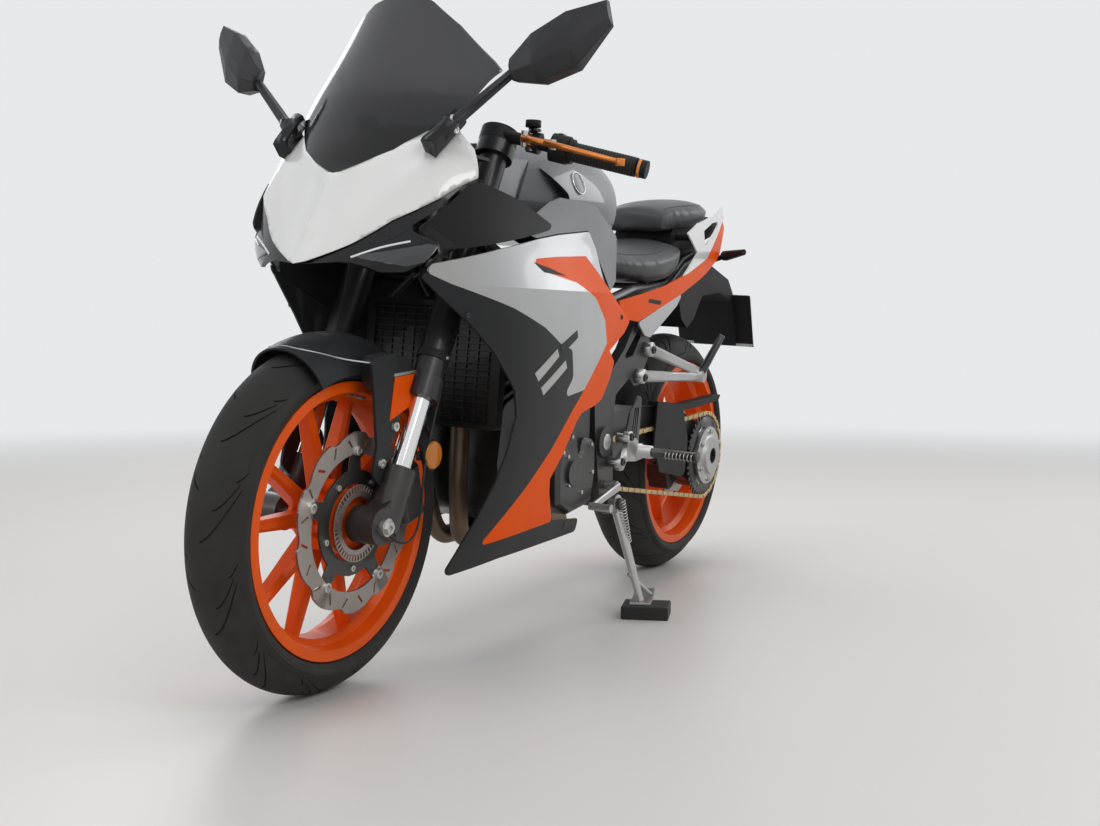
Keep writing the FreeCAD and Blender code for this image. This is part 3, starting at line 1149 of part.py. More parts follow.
def foot_brackets():
    x0, z0 = -165.0, 356.0
    plate = slab([(-60, 322), (-60, 345), (-98, 370), (-96, 404), (-118, 402), (-140, 372), (-178, 372), (-182, 340),
                  (-140, 336), (-96, 340), (-82, 322)], 176, 188, 8)
    guard = slab([(-112, 396), (-136, 366), (-178, 366), (-182, 470), (-168, 476), (-128, 440)], 172, 175.7, 8)
    slots = [slab([(-140 - 12 * k, 384), (-136 - 12 * k, 384), (-150 - 8 * k, 450), (-156 - 8 * k, 450)], 160, 190)
             for k in range(3)]
    peg = join([across(x0, z0, 14, 186, 214), across(x0, z0, 10, 214, 320), across(x0, z0, 12, 314, 321)])
    studs = [across(x, z, 11, PLATE_Y[1] + FIT, 190) for x, z in ((-107, 386), (-70, 338))]
    side = join([plate, peg] + studs)
    nodes["rider_brackets"] = both(join([side, guard.cut(Part.makeCompound(slots))]))
    ex, ez = -500.0, 512.0
    arm_high = bar(V(-228, 166, 574), V(ex, 176, ez + 6), (12, 26), (12, 20), V(0, 1, 0))
    arm_low = bar(V(-192, 166, 516), V(ex, 176, ez - 6), (12, 26), (12, 20), V(0, 1, 0))
    eye = across(ex, ez, 18, 164, 190)
    folded = bar(V(ex, 184, ez + 8), V(ex - 8, 226, ez + 96), (20, 18), (16, 14), V(1, 0, 0))
    heads = [across(x, z, 16, PLATE_Y[1] + FIT, 174) for x, z in ((-228, 574), (-192, 516))]
    nodes["pillion_brackets"] = both(join([arm_high, arm_low, eye, folded] + heads))


def foot_controls():
    lever = join([across(-60, 290, 11, 168, 186), bar(V(-60, 190, 290), V(60, 190, 262), (8, 18), (8, 14), V(0, 1, 0)),
                  across(60, 262, 8, 184, 232)])
    pivot = across(-60, 290, 8, PLATE_Y[1] + FIT, 190)
    pedal = join([across(-60, 300, 11, 168, 186), bar(V(-60, 190, 300), V(66, 190, 276), (8, 18), (8, 14), V(0, 1, 0)),
                  across(66, 276, 8, 184, 226), across(-60, 300, 8, PLATE_Y[1] + FIT, 190)])
    nodes["foot_controls"] = Part.makeCompound([join([lever, pivot]), flip(pedal)])


def stand_axis():
    tilt = math.radians(STAND_TILT)
    return V(0, math.cos(tilt), math.sin(tilt))


def side_stand():
    pivot = V(*STAND_PIVOT)
    foot = V(*STAND_FOOT)
    axis = stand_axis()
    eye = rod(pivot - axis * 8, pivot + axis * 8, 20)
    leg_bar = bar(pivot, foot + V(1, -1, 3.5), (16, 26), (13, 17), axis)
    spur = bar(foot + V(22, -22, 62), foot + V(-36, 6, 12), (8, 8), (8, 8), V(0, 1, 0))
    half = SOLE_THICKNESS / 2
    sole = slab([(18, -half), (18, half), (-58, half), (-92, 14), (-96, 10), (-60, -half)], -22, 22, 1.5)
    sole.rotate(V(0, 0, 0), V(0, 0, 1), PAD_TURN)
    sole.rotate(V(0, 0, 0), V(1, 0, 0), LEAN)
    sole.translate(foot)
    hole = rod(pivot - axis * 40, pivot + axis * 40, 8 + FIT)
    nodes["side_stand"] = join([eye, leg_bar, spur, sole]).cut(hole)


def stand_bracket():
    """The lug under the frame plate that holds the stand's pivot bolt."""
    pivot = V(*STAND_PIVOT)
    axis = stand_axis()
    bolt = join([rod(pivot - axis * 28, pivot + axis * 16, 8), rod(pivot + axis * 10, pivot + axis * 16, 13)])
    ear = rod(pivot - axis * 28, pivot - axis * 10, 20)
    middle = (PLATE_Y[0] + PLATE_Y[1]) / 2
    arm = bar(pivot - axis * 20, V(pivot.x + 6, middle, pivot.z + 50), (10, 34), (10, 40), axis)
    return join([bolt, ear, arm])


def stand_pad(foot_point):
    """The pad lies flat on the floor under the stand's sole, so it is made after the lean."""
    dx, dy = PAD_SIZE
    pad = box((-dx / 2, dx / 2), (-dy / 2, dy / 2), (0, foot_point.z - SOLE_THICKNESS / 2 - 0.1))
    pad = pad.makeChamfer(2, pad.Edges)
    pad.rotate(V(0, 0, 0), V(0, 0, 1), PAD_TURN)
    pad.translate(V(foot_point.x - 10, foot_point.y + 8, 0))
    return pad


STEERED = ("fork_outer_tubes", "fork_inner_tubes", "fork_feet", "front_axle", "triple_clamps", "handlebars",
           "hand_controls", "front_mudguard", "front_caliper")

front_wheel()
front_disc()
rear_wheel()
fork()
clamps()
handlebars()
hand_controls()
mudguard()
front_caliper()
fairings()
seats()
main_frame()
frame_plates()
seat_frame()
engine()
radiator()
exhaust()
swingarm()
chain()
chain_guard()
rear_shock()
rear_caliper()
nose()
windscreen()
dashboard()
mirrors()
tank()
tank_rests()
tail()
tail_base()
foot_brackets()
foot_controls()
side_stand()

# Lean the whole bike about the line where its tyres meet the floor
lift = REAR_WIDTH / 2 * (1 - math.cos(math.radians(LEAN)))


def parked(shape):
    moved = shape.copy()
    moved.rotate(V(0, 0, 0), V(1, 0, 0), -LEAN)
    moved.translate(V(0, 0, lift))
    return moved


def parked_point(point):
    turn = FreeCAD.Rotation(V(1, 0, 0), -LEAN)
    return turn.multVec(point) + V(0, 0, lift)


for name in list(nodes):
    nodes[name] = parked(nodes[name])
sole_point = parked_point(V(*STAND_FOOT))
nodes["stand_pad"] = stand_pad(sole_point)

# The origin is under the middle of the whole bike's box
whole = Part.makeCompound(list(nodes.values())).optimalBoundingBox(False, False)
ORIGIN = V(-(whole.XMin + whole.XMax) / 2, -(whole.YMin + whole.YMax) / 2, -whole.ZMin)
os.makedirs("parts", exist_ok=True)
for name, shape in nodes.items():
    shape.translate(ORIGIN)
    shape.exportStep("parts/" + name + ".step")
    solids = shape.Solids
    print(name, len(solids), "solids", round(sum(s.Volume for s in solids) / 1000), "cm3", shape.isValid())
print("origin", ORIGIN, "sole height", sole_point.z)
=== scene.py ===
import bpy
import bmesh
import math
from mathutils import Matrix, Vector
from mathutils.bvhtree import BVHTree


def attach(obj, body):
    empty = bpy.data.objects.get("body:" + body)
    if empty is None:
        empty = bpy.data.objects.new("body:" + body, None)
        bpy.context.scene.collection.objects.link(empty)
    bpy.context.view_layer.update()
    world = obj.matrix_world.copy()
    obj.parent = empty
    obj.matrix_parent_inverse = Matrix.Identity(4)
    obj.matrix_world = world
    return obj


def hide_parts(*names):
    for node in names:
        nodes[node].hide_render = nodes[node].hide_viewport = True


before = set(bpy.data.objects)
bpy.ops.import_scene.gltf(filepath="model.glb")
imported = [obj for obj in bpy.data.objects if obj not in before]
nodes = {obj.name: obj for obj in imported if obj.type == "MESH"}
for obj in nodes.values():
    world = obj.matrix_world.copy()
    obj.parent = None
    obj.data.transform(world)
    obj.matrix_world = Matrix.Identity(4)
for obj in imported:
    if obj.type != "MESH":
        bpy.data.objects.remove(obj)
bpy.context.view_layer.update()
scene = bpy.context.scene
scene.view_settings.view_transform = 'Standard'

# The bike is drawn upright in millimetres and then leaned onto its stand
bike = {"lean": 3.3, "shift": (0.036011, -0.063723, 0.000116), "wheelbase": 1380.0, "frontRadius": 293.0,
        "rearRadius": 300.0, "rake": 25.0, "legSpacing": 210.0, "axleLead": 30.0, "barRoot": (368.0, 118.0, 962.0),
        "barEnd": (306.0, 382.0, 905.0), "weld": 0.00001}
lean, rake = math.radians(bike["lean"]), math.radians(bike["rake"])
toRest = Matrix.Translation(bike["shift"]) @ Matrix.Rotation(-lean, 4, 'X') @ Matrix.Scale(0.001, 4)
toBike = toRest.inverted()
frontAxle = Vector((bike["wheelbase"] / 2, 0, bike["frontRadius"]))
rearAxle = Vector((-bike["wheelbase"] / 2, 0, bike["rearRadius"]))
upFork = Vector((-math.sin(rake), 0, math.cos(rake)))
sideways, upright = Vector((0, 1, 0)), Vector((0, 0, 1))


def legPoint(up, side=1):  # a point of a fork leg, millimetres above axle height
    return Vector((frontAxle.x - bike["axleLead"], side * bike["legSpacing"] / 2, frontAxle.z)) + upFork * up


def barPoint(share, side=1):  # along a handlebar, 0 at its root and 1 at its end
    point = Vector(bike["barRoot"]).lerp(Vector(bike["barEnd"]), share)
    return Vector((point.x, side * point.y, point.z))


def onRing(centre, radius, turn):  # a point of a circle in the wheels' plane
    return centre + Vector((math.cos(turn), 0, math.sin(turn))) * radius


# Camera, lamps, floor
camera = {"place": (2.4687, 1.3303, 0.5972), "yaw": 208.465, "pitch": -3.413, "focalPixels": 1325.6, "photoWidth": 1100,
          "sensorWidth": 36.0}
yaw, pitch = math.radians(camera["yaw"]), math.radians(camera["pitch"])
sight = Vector((math.cos(yaw) * math.cos(pitch), math.sin(yaw) * math.cos(pitch), math.sin(pitch)))
cameraData = bpy.data.cameras.new("photoCamera")
cameraData.sensor_width = camera["sensorWidth"]
cameraData.lens = camera["focalPixels"] / camera["photoWidth"] * camera["sensorWidth"]
cameraObject = bpy.data.objects.new("photoCamera", cameraData)
cameraObject.location = camera["place"]
cameraObject.rotation_euler = sight.to_track_quat('-Z', 'Y').to_euler()
scene.collection.objects.link(cameraObject)
scene.camera = cameraObject
print("camera placed")

studio = {
    "lamps": (  # place, aim, size across and along, watts
        ((1.6, 3.2, 3.0), (0.1, 0.0, 0.5), (2.6, 1.6), 46),
        ((3.8, -1.6, 2.4), (0.4, 0.0, 0.5), (2.4, 1.8), 30),
        ((0.0, 0.0, 4.2), (0.0, 0.0, 0.0), (4.5, 2.2), 68),
        ((-3.2, 1.8, 2.2), (-0.4, 0.0, 0.6), (2.0, 1.6), 26),
        ((-2.6, -3.0, 2.6), (0.0, 0.0, 0.6), (2.6, 1.6), 34),
    ),
    "hiddenInGloss": (2,), "wallColor": (0.80, 0.81, 0.82), "wallFrom": 2.6, "wallTo": 6.4,
    "skyLight": 0.30, "skyColor": (0.93, 0.95, 1.0), "seenSky": (0.86, 0.87, 0.89), "floorColor": (0.735, 0.72, 0.69),
    "floorShade": 0.95, "floorRough": 0.42, "floorRadius": 6.2, "wallHeight": 4.5, "foldRadius": 1.2, "foldSteps": 6,
    "floorSteps": 72,
}


def addLamp(number, place, aim, size, watts):
    lamp = bpy.data.lights.new("softbox%d" % number, 'AREA')
    lamp.shape = 'RECTANGLE'
    lamp.size, lamp.size_y = size
    lamp.energy = watts
    lampObject = bpy.data.objects.new(lamp.name, lamp)
    lampObject.visible_glossy = number not in studio["hiddenInGloss"]
    lampObject.location = place
    lampObject.rotation_euler = (Vector(aim) - Vector(place)).to_track_quat('-Z', 'Y').to_euler()
    scene.collection.objects.link(lampObject)


for number, settings in enumerate(studio["lamps"]):
    addLamp(number, *settings)


def setInputs(node, inputs):  # by name or number: a socket is linked, anything else is the input's own value
    for key, value in inputs.items():
        if isinstance(value, bpy.types.NodeSocket):
            node.id_data.links.new(value, node.inputs[key])
        else:
            node.inputs[key].default_value = value


def addNode(tree, kind, inputs=None, **settings):
    node = tree.nodes.new(kind)
    for key, value in settings.items():
        setattr(node, key, value)
    setInputs(node, inputs or {})
    return node


def addMath(tree, operation, *values, clamped=False):
    node = addNode(tree, 'ShaderNodeMath', dict(enumerate(values)), operation=operation, use_clamp=clamped)
    return node.outputs[0]


def mixColors(tree, factor, first, second):
    node = addNode(tree, 'ShaderNodeMix', {"Factor": factor, "A": first, "B": second}, data_type='RGBA')
    return node.outputs["Result"]


def seenRays(tree):  # 1 for what the camera sees straight, in metal or through glass, 0 for light on the bike
    rays = addNode(tree, 'ShaderNodeLightPath').outputs
    straight = addMath(tree, 'MAXIMUM', rays["Is Camera Ray"], rays["Is Transmission Ray"])
    return addMath(tree, 'MAXIMUM', straight, rays["Is Glossy Ray"])


def makeSky():
    world = bpy.data.worlds.new("studioSky")
    world.use_nodes = True
    tree = world.node_tree
    tree.nodes.clear()
    light = addNode(tree, 'ShaderNodeBackground', {"Color": (*studio["skyColor"], 1), "Strength": studio["skyLight"]})
    view = addNode(tree, 'ShaderNodeBackground', {"Color": (*studio["seenSky"], 1), "Strength": 1.0})
    mix = addNode(tree, 'ShaderNodeMixShader', {0: seenRays(tree), 1: light.outputs[0], 2: view.outputs[0]})
    addNode(tree, 'ShaderNodeOutputWorld', {"Surface": mix.outputs[0]})
    scene.world = world


makeSky()


# Shared effects as node groups
def addGroup(name, inputs, outputs):
    group = bpy.data.node_groups.new(name, 'ShaderNodeTree')
    for label, value in inputs.items():
        kind = 'NodeSocketColor' if "Color" in label else 'NodeSocketFloat'
        group.interface.new_socket(name=label, in_out='INPUT', socket_type=kind).default_value = value
    for label in outputs:
        kind = 'NodeSocketColor' if "Color" in label else 'NodeSocketFloat'
        group.interface.new_socket(name=label, in_out='OUTPUT', socket_type=kind)
    return group, group.nodes.new('NodeGroupInput').outputs


def makeSurfaceGroup():  # slow colour drift, gloss drift and a fine grain height
    group, given = addGroup("surfaceDrift", {
        "Color": (0.5, 0.5, 0.5, 1), "Drift Color": (0.4, 0.4, 0.4, 1), "Drift Scale": 9.0, "Drift Amount": 0.5,
        "Roughness": 0.4, "Roughness Drift": 0.08, "Grain Scale": 900.0}, ("Color", "Roughness", "Height"))
    place = addNode(group, 'ShaderNodeTexCoord').outputs["Object"]
    drift = addNode(group, 'ShaderNodeTexNoise', {"Vector": place, "Scale": given["Drift Scale"], "Detail": 5.0})
    spread = addNode(group, 'ShaderNodeMapRange', {"Value": drift.outputs[0], "From Min": 0.35, "From Max": 0.7})
    amount = addMath(group, 'MULTIPLY', spread.outputs[0], given["Drift Amount"])
    grain = addNode(group, 'ShaderNodeTexNoise', {"Vector": place, "Scale": given["Grain Scale"], "Detail": 3.0})
    addNode(group, 'NodeGroupOutput', {
        "Color": mixColors(group, amount, given["Color"], given["Drift Color"]),
        "Roughness": addMath(group, 'MULTIPLY_ADD', spread.outputs[0], given["Roughness Drift"], given["Roughness"]),
        "Height": grain.outputs[0]})
    return group


def makeDustGroup():  # pale dust that gathers low on the bike and in broad patches
    group, given = addGroup("roadDust", {
        "Color": (0.1, 0.1, 0.1, 1), "Dust Color": (0.32, 0.29, 0.25, 1), "Amount": 0.25, "Top": 0.7},
        ("Color", "Mask"))
    place = addNode(group, 'ShaderNodeTexCoord').outputs["Object"]
    split = addNode(group, 'ShaderNodeSeparateXYZ', {0: place})
    height = addNode(group, 'ShaderNodeMapRange',
                     {"Value": split.outputs["Z"], "From Max": given["Top"], "To Min": 1.0, "To Max": 0.0})
    patches = addNode(group, 'ShaderNodeTexNoise', {"Vector": place, "Scale": 26.0, "Detail": 8.0})
    both = addMath(group, 'MULTIPLY', height.outputs[0], patches.outputs[0])
    amount = addMath(group, 'MULTIPLY', both, given["Amount"], clamped=True)
    addNode(group, 'NodeGroupOutput',
            {"Color": mixColors(group, amount, given["Color"], given["Dust Color"]), "Mask": amount})
    return group


surfaceDrift = makeSurfaceGroup()
roadDust = makeDustGroup()

# Finishes: colour, drift colour, roughness and its drift, metal, clear coat, grain scale and depth in hundredths of a
# millimetre, dust, and for some the shine and the tint of their gloss
warm = (1.0, 0.42, 0.16)
finishes = {
    "pearlWhite": ((0.80, 0.80, 0.79), (0.76, 0.77, 0.78), (0.30, 0.05), 0.0, 1.0, (2600, 2), 0.0),
    "silverPearl": ((0.47, 0.475, 0.48), (0.42, 0.425, 0.43), (0.38, 0.06), 0.5, 0.4, (3200, 3), 0.05),
    "charcoalPaint": ((0.019, 0.020, 0.022), (0.027, 0.028, 0.030), (0.46, 0.06), 0.2, 0.05, (3000, 3), 0.05, 0.22),
    "tankPaint": ((0.100, 0.103, 0.109), (0.086, 0.089, 0.094), (0.40, 0.05), 0.6, 0.5, (3200, 2), 0.0),
    "orangePaint": ((0.90, 0.102, 0.003), (0.85, 0.090, 0.003), (0.34, 0.05), 0.0, 0.02, (1500, 2), 0.0, 0.08, warm),
    "orangeWheel": ((0.88, 0.105, 0.004), (0.79, 0.085, 0.004), (0.34, 0.08), 0.0, 0.1, (1200, 4), 0.03, 0.3, warm),
    "pianoBlack": ((0.005, 0.005, 0.006), (0.008, 0.008, 0.009), (0.16, 0.05), 0.0, 0.2, (900, 1), 0.0, 0.3),
    "mattBlack": ((0.011, 0.011, 0.012), (0.017, 0.017, 0.018), (0.52, 0.10), 0.0, 0.0, (1400, 12), 0.06, 0.22),
    "mirrorShell": ((0.012, 0.012, 0.014), (0.018, 0.018, 0.020), (0.45, 0.08), 0.0, 0.05, (1100, 22), 0.0, 0.4),
    "blackMetal": ((0.020, 0.020, 0.022), (0.032, 0.031, 0.030), (0.36, 0.12), 0.5, 0.2, (900, 10), 0.30),
    "charcoalMetal": ((0.055, 0.056, 0.060), (0.075, 0.075, 0.078), (0.38, 0.12), 0.7, 0.1, (900, 10), 0.22),
    "castSilver": ((0.50, 0.50, 0.50), (0.40, 0.40, 0.39), (0.36, 0.14), 0.9, 0.0, (700, 12), 0.15),
    "brushedSteel": ((0.56, 0.55, 0.53), (0.46, 0.45, 0.43), (0.26, 0.14), 1.0, 0.0, (1800, 3), 0.08),
    "chrome": ((0.78, 0.78, 0.78), (0.72, 0.72, 0.72), (0.06, 0.05), 1.0, 0.0, (700, 1), 0.0),
    "discSteel": ((0.36, 0.325, 0.30), (0.27, 0.235, 0.21), (0.33, 0.16), 0.9, 0.0, (1500, 5), 0.10),
    "pipeSteel": ((0.20, 0.145, 0.10), (0.10, 0.075, 0.06), (0.42, 0.20), 0.85, 0.0, (600, 8), 0.30),
    "chainGold": ((0.62, 0.44, 0.18), (0.40, 0.28, 0.12), (0.34, 0.18), 0.9, 0.0, (900, 6), 0.15),
    "anodOrange": ((0.80, 0.26, 0.05), (0.70, 0.20, 0.04), (0.28, 0.08), 0.7, 0.3, (1500, 2), 0.0),
    "tyreRubber": ((0.017, 0.017, 0.017), (0.030, 0.029, 0.028), (0.62, 0.14), 0.0, 0.0, (1300, 14), 0.10, 0.25),
    "gripRubber": ((0.012, 0.012, 0.012), (0.020, 0.020, 0.020), (0.66, 0.10), 0.0, 0.0, (2400, 15), 0.0),
    "seatVinyl": ((0.052, 0.053, 0.056), (0.040, 0.041, 0.043), (0.44, 0.10), 0.0, 0.08, (520, 32), 0.05),
    "whitePlate": ((0.55, 0.56, 0.57), (0.50, 0.51, 0.52), (0.35, 0.06), 0.0, 0.3, (700, 2), 0.05),
    "mirrorGlass": ((0.82, 0.83, 0.84), (0.80, 0.81, 0.82), (0.02, 0.01), 1.0, 0.0, (500, 0.1), 0.0),
}
glasses = {  # colour, roughness, transmission
    "smokedScreen": ((0.018, 0.018, 0.020), 0.09, 0.86), "clearLens": ((0.30, 0.31, 0.33), 0.04, 0.80),
    "amberLens": ((0.85, 0.27, 0.02), 0.12, 0.35), "redLens": ((0.55, 0.01, 0.01), 0.10, 0.4),
    "lampGlow": ((0.92, 0.93, 0.95), 0.2, 0.0),
}
glassShade = {"drift": 0.9, "roughDrift": 0.02, "bend": 1.45}
paintDetail = {"edgeRadius": 0.0012, "edgeSamples": 3, "coatRough": 0.04, "grainUnit": 0.00001}


def newMaterial(name):
    material = bpy.data.materials.new(name)
    material.use_nodes = True
    return material, material.node_tree, material.node_tree.nodes["Principled BSDF"]


def addSurface(tree, color, drift, rough, roughDrift, grainScale=900.0):
    return addNode(tree, 'ShaderNodeGroup', {
        "Color": (*color, 1), "Drift Color": (*drift, 1), "Roughness": rough, "Roughness Drift": roughDrift,
        "Grain Scale": grainScale}, node_tree=surfaceDrift).outputs


def paintMaterial(name, color, drift, rough, metal, coat, grain, dust, shine=0.5, tint=(1.0, 1.0, 1.0)):
    material, tree, shader = newMaterial(name)
    surface = addSurface(tree, color, drift, *rough, grain[0])
    finalColor = surface["Color"]
    if dust > 0:
        dusty = addNode(tree, 'ShaderNodeGroup', {"Amount": dust, "Color": finalColor}, node_tree=roadDust)
        finalColor = dusty.outputs["Color"]
    soften = addNode(tree, 'ShaderNodeBevel', {"Radius": paintDetail["edgeRadius"]}, samples=paintDetail["edgeSamples"])
    bump = addNode(tree, 'ShaderNodeBump', {"Strength": 1.0, "Distance": grain[1] * paintDetail["grainUnit"],
                                            "Height": surface["Height"], "Normal": soften.outputs[0]})
    setInputs(shader, {"Base Color": finalColor, "Roughness": surface["Roughness"], "Normal": bump.outputs[0],
                       "Metallic": metal, "Coat Weight": coat, "Coat Roughness": paintDetail["coatRough"],
                       "Specular IOR Level": shine, "Specular Tint": (*tint, 1)})
    return material


def glassMaterial(name, color, rough, transmission):
    material, tree, shader = newMaterial(name)
    drift = [glassShade["drift"] * value for value in color]
    surface = addSurface(tree, color, drift, rough, glassShade["roughDrift"])
    setInputs(shader, {"Base Color": surface["Color"], "Roughness": surface["Roughness"],
                       "Transmission Weight": transmission, "IOR": glassShade["bend"]})
    return material


materials = {name: paintMaterial(name, *settings) for name, settings in finishes.items()}
materials.update({name: glassMaterial(name, *settings) for name, settings in glasses.items()})


def makeFloor():
    material, tree, shader = newMaterial("paleFloor")
    place = addNode(tree, 'ShaderNodeTexCoord').outputs["Object"]
    noise = addNode(tree, 'ShaderNodeTexNoise', {"Vector": place, "Scale": 0.8, "Detail": 6.0})
    shaded = [studio["floorShade"] * value for value in studio["floorColor"]]
    color = mixColors(tree, noise.outputs[0], (*studio["floorColor"], 1), (*shaded, 1))
    setInputs(shader, {"Base Color": color, "Roughness": studio["floorRough"]})
    # the far floor and wall turn pale for the camera, metal and glass only
    away = addNode(tree, 'ShaderNodeVectorMath', {0: place}, operation='LENGTH').outputs["Value"]
    far = addNode(tree, 'ShaderNodeMapRange', {"Value": away, "From Min": studio["wallFrom"],
                                               "From Max": studio["wallTo"]}, interpolation_type='SMOOTHSTEP')
    share = addMath(tree, 'MULTIPLY', seenRays(tree), far.outputs[0])
    pale = addNode(tree, 'ShaderNodeEmission', {"Color": (*studio["wallColor"], 1)})
    blend = addNode(tree, 'ShaderNodeMixShader', {0: share, 1: shader.outputs[0], 2: pale.outputs[0]})
    setInputs(tree.nodes["Material Output"], {"Surface": blend.outputs[0]})
    bm = bmesh.new()
    radius, fold, steps = studio["floorRadius"], studio["foldRadius"], studio["foldSteps"]
    profile = [bm.verts.new((reach, 0, 0)) for reach in (0.0, radius * 0.5, radius)]
    profile += [bm.verts.new((radius + fold * math.sin(turn), 0, fold - fold * math.cos(turn)))
                for turn in (math.radians(90 / steps * step) for step in range(1, steps + 1))]
    profile.append(bm.verts.new((radius + fold, 0, studio["wallHeight"])))
    edges = [bm.edges.new(pair) for pair in zip(profile, profile[1:])]
    bmesh.ops.spin(bm, geom=profile + edges, cent=(0, 0, 0), axis=(0, 0, 1), angle=2 * math.pi,
                   steps=studio["floorSteps"], use_merge=True)
    bmesh.ops.remove_doubles(bm, verts=bm.verts, dist=0.0005)
    bmesh.ops.recalc_face_normals(bm, faces=bm.faces)
    mesh = bpy.data.meshes.new("studioFloor")
    bm.to_mesh(mesh)
    bm.free()
    mesh.shade_smooth()
    mesh.materials.append(material)
    floor = bpy.data.objects.new("studioFloor", mesh)
    scene.collection.objects.link(floor)


makeFloor()
print("studio and finishes ready")

# What the built nodes are finished in; those not named are matt black
nodeFinish = {
    "orangeWheel": ("front_rim", "rear_rim"), "tyreRubber": ("front_tyre", "rear_tyre"),
    "discSteel": ("front_disc", "rear_disc"), "chrome": ("fork_inner_tubes",), "brushedSteel": ("front_axle",),
    "blackMetal": ("fork_outer_tubes", "fork_feet", "triple_clamps", "front_caliper", "main_frame", "seat_frame",
                   "radiator", "silencer", "rear_shock", "rear_caliper", "fuel_lid"),
    "charcoalMetal": ("frame_plates", "engine_block", "engine_covers", "swingarm"),
    "castSilver": ("rear_sprocket", "rider_brackets", "pillion_brackets", "foot_controls", "side_stand"),
    "charcoalPaint": ("front_mudguard", "fairing_left_lower", "fairing_right_lower"),
    "silverPearl": ("fairing_left_upper", "fairing_right_upper", "tail_lower"), "orangePaint": ("orange_trims",),
    "pearlWhite": ("nose_fairing", "tail_cowl"), "tankPaint": ("tank_covers", "fuel_tank"),
    "seatVinyl": ("rider_seat", "pillion_seat"), "pipeSteel": ("exhaust_pipes",), "chainGold": ("drive_chain",),
    "pianoBlack": ("headlight_housing",), "clearLens": ("headlight_lenses",), "smokedScreen": ("windscreen",),
    "mirrorShell": ("mirrors",), "redLens": ("tail_light",), "whitePlate": ("number_plate",),
    "gripRubber": ("stand_pad",),
}
for built in nodes.values():
    built.data.materials.clear()
    built.data.materials.append(materials["mattBlack"])
for look, names in nodeFinish.items():
    for name in names:
        nodes[name].data.materials[0] = materials[look]
print("nodes finished")


# Small tools; all shapes are drawn in the upright bike's millimetres
def addPiece(name, mesh, body, look):
    mesh.materials.append(materials[look])
    piece = bpy.data.objects.new(name, mesh)
    scene.collection.objects.link(piece)
    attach(piece, body)
    return piece


def meshFrom(name, bm):
    mesh = bpy.data.meshes.new(name)
    bm.to_mesh(mesh)
    bm.free()
    return mesh


def newPiece(name, bm, body, look, angle=32, outward=True):
    if outward:
        bmesh.ops.recalc_face_normals(bm, faces=bm.faces)
    bmesh.ops.transform(bm, matrix=toRest, verts=bm.verts)
    mesh = meshFrom(name, bm)
    mesh.shade_smooth()
    mesh.set_sharp_from_angle(angle=math.radians(angle))
    return addPiece(name, mesh, body, look)


def nodeShape(*names):  # the shapes of built nodes, welded, in the upright bike's millimetres
    bm = bmesh.new()
    for name in names:
        bm.from_mesh(nodes[name].data)
    bmesh.ops.remove_doubles(bm, verts=bm.verts, dist=bike["weld"])
    bmesh.ops.transform(bm, matrix=toBike, verts=bm.verts)
    return bm


def freezeShape(piece, angle):  # applies the live modifiers, so the mesh is the finished shape
    bpy.context.view_layer.update()
    graph = bpy.context.evaluated_depsgraph_get()
    done = bpy.data.meshes.new_from_object(piece.evaluated_get(graph), preserve_all_data_layers=True, depsgraph=graph)
    piece.modifiers.clear()
    piece.data = done
    done.shade_smooth()
    done.set_sharp_from_angle(angle=math.radians(angle))


def cutPiece(piece, bm, angle):  # takes the drawn shape out of a piece
    bmesh.ops.recalc_face_normals(bm, faces=bm.faces)
    bmesh.ops.transform(bm, matrix=toRest, verts=bm.verts)
    cutter = bpy.data.objects.new("cutter", meshFrom("cutter", bm))
    scene.collection.objects.link(cutter)
    cut = piece.modifiers.new("cut", 'BOOLEAN')
    cut.operation = 'DIFFERENCE'
    cut.solver = 'MANIFOLD'
    cut.object = cutter
    freezeShape(piece, angle)
    bpy.data.objects.remove(cutter)


def dressNode(node, name, body, looks, choose):  # a copy of a built node in several finishes
    bm = nodeShape(node)
    for face in bm.faces:
        face.material_index = choose(face.calc_center_median(), face.normal)
    piece = newPiece(name, bm, body, looks[0], 28, outward=False)
    for look in looks[1:]:
        piece.data.materials.append(materials[look])
    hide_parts(node)


def turnTo(way):
    return Vector(way).to_track_quat('Z', 'X').to_matrix().to_4x4()


def addRod(bm, start, end, radius, endRadius=None, sides=24):
    start, end = Vector(start), Vector(end)
    return bmesh.ops.create_cone(bm, cap_ends=True, segments=sides, radius1=radius,
                                 radius2=radius if endRadius is None else endRadius, depth=(end - start).length,
                                 matrix=Matrix.Translation((start + end) / 2) @ turnTo(end - start))["verts"]


boltHead = {"taper": 0.86, "sink": 0.6, "wall": 0.02}


def addBolt(bm, place, way, radius, height, sides=20, socket=0.5):  # a button head with a sunk socket, or a hex head
    place, way, taper = Vector(place), Vector(way).normalized(), boltHead["taper"]
    verts = addRod(bm, place - way * 1.0, place + way * height, radius, radius * taper, sides)
    top = max((face for face in {face for vert in verts for face in vert.link_faces} if len(face.verts) == sides),
              key=lambda face: (face.calc_center_median() - place).dot(way))
    if socket > 0:
        bmesh.ops.inset_region(bm, faces=[top], thickness=radius * (1 - socket) * taper)
        bmesh.ops.inset_region(bm, faces=[top], thickness=boltHead["wall"] * radius, depth=-boltHead["sink"] * height)


def addBlock(bm, centre, size, turn=None, bevel=0.0, segments=2):
    made = bmesh.ops.create_cube(bm, size=1.0)["verts"]
    bmesh.ops.scale(bm, vec=size, verts=made)
    if bevel > 0:
        edges = list({edge for vert in made for edge in vert.link_edges})
        made = bmesh.ops.bevel(bm, geom=edges, offset=bevel, affect='EDGES', segments=segments, profile=0.5,
                               material=-1, clamp_overlap=True)["verts"]
    bmesh.ops.transform(bm, matrix=Matrix.Translation(centre) @ (turn or Matrix.Identity(4)), verts=made)


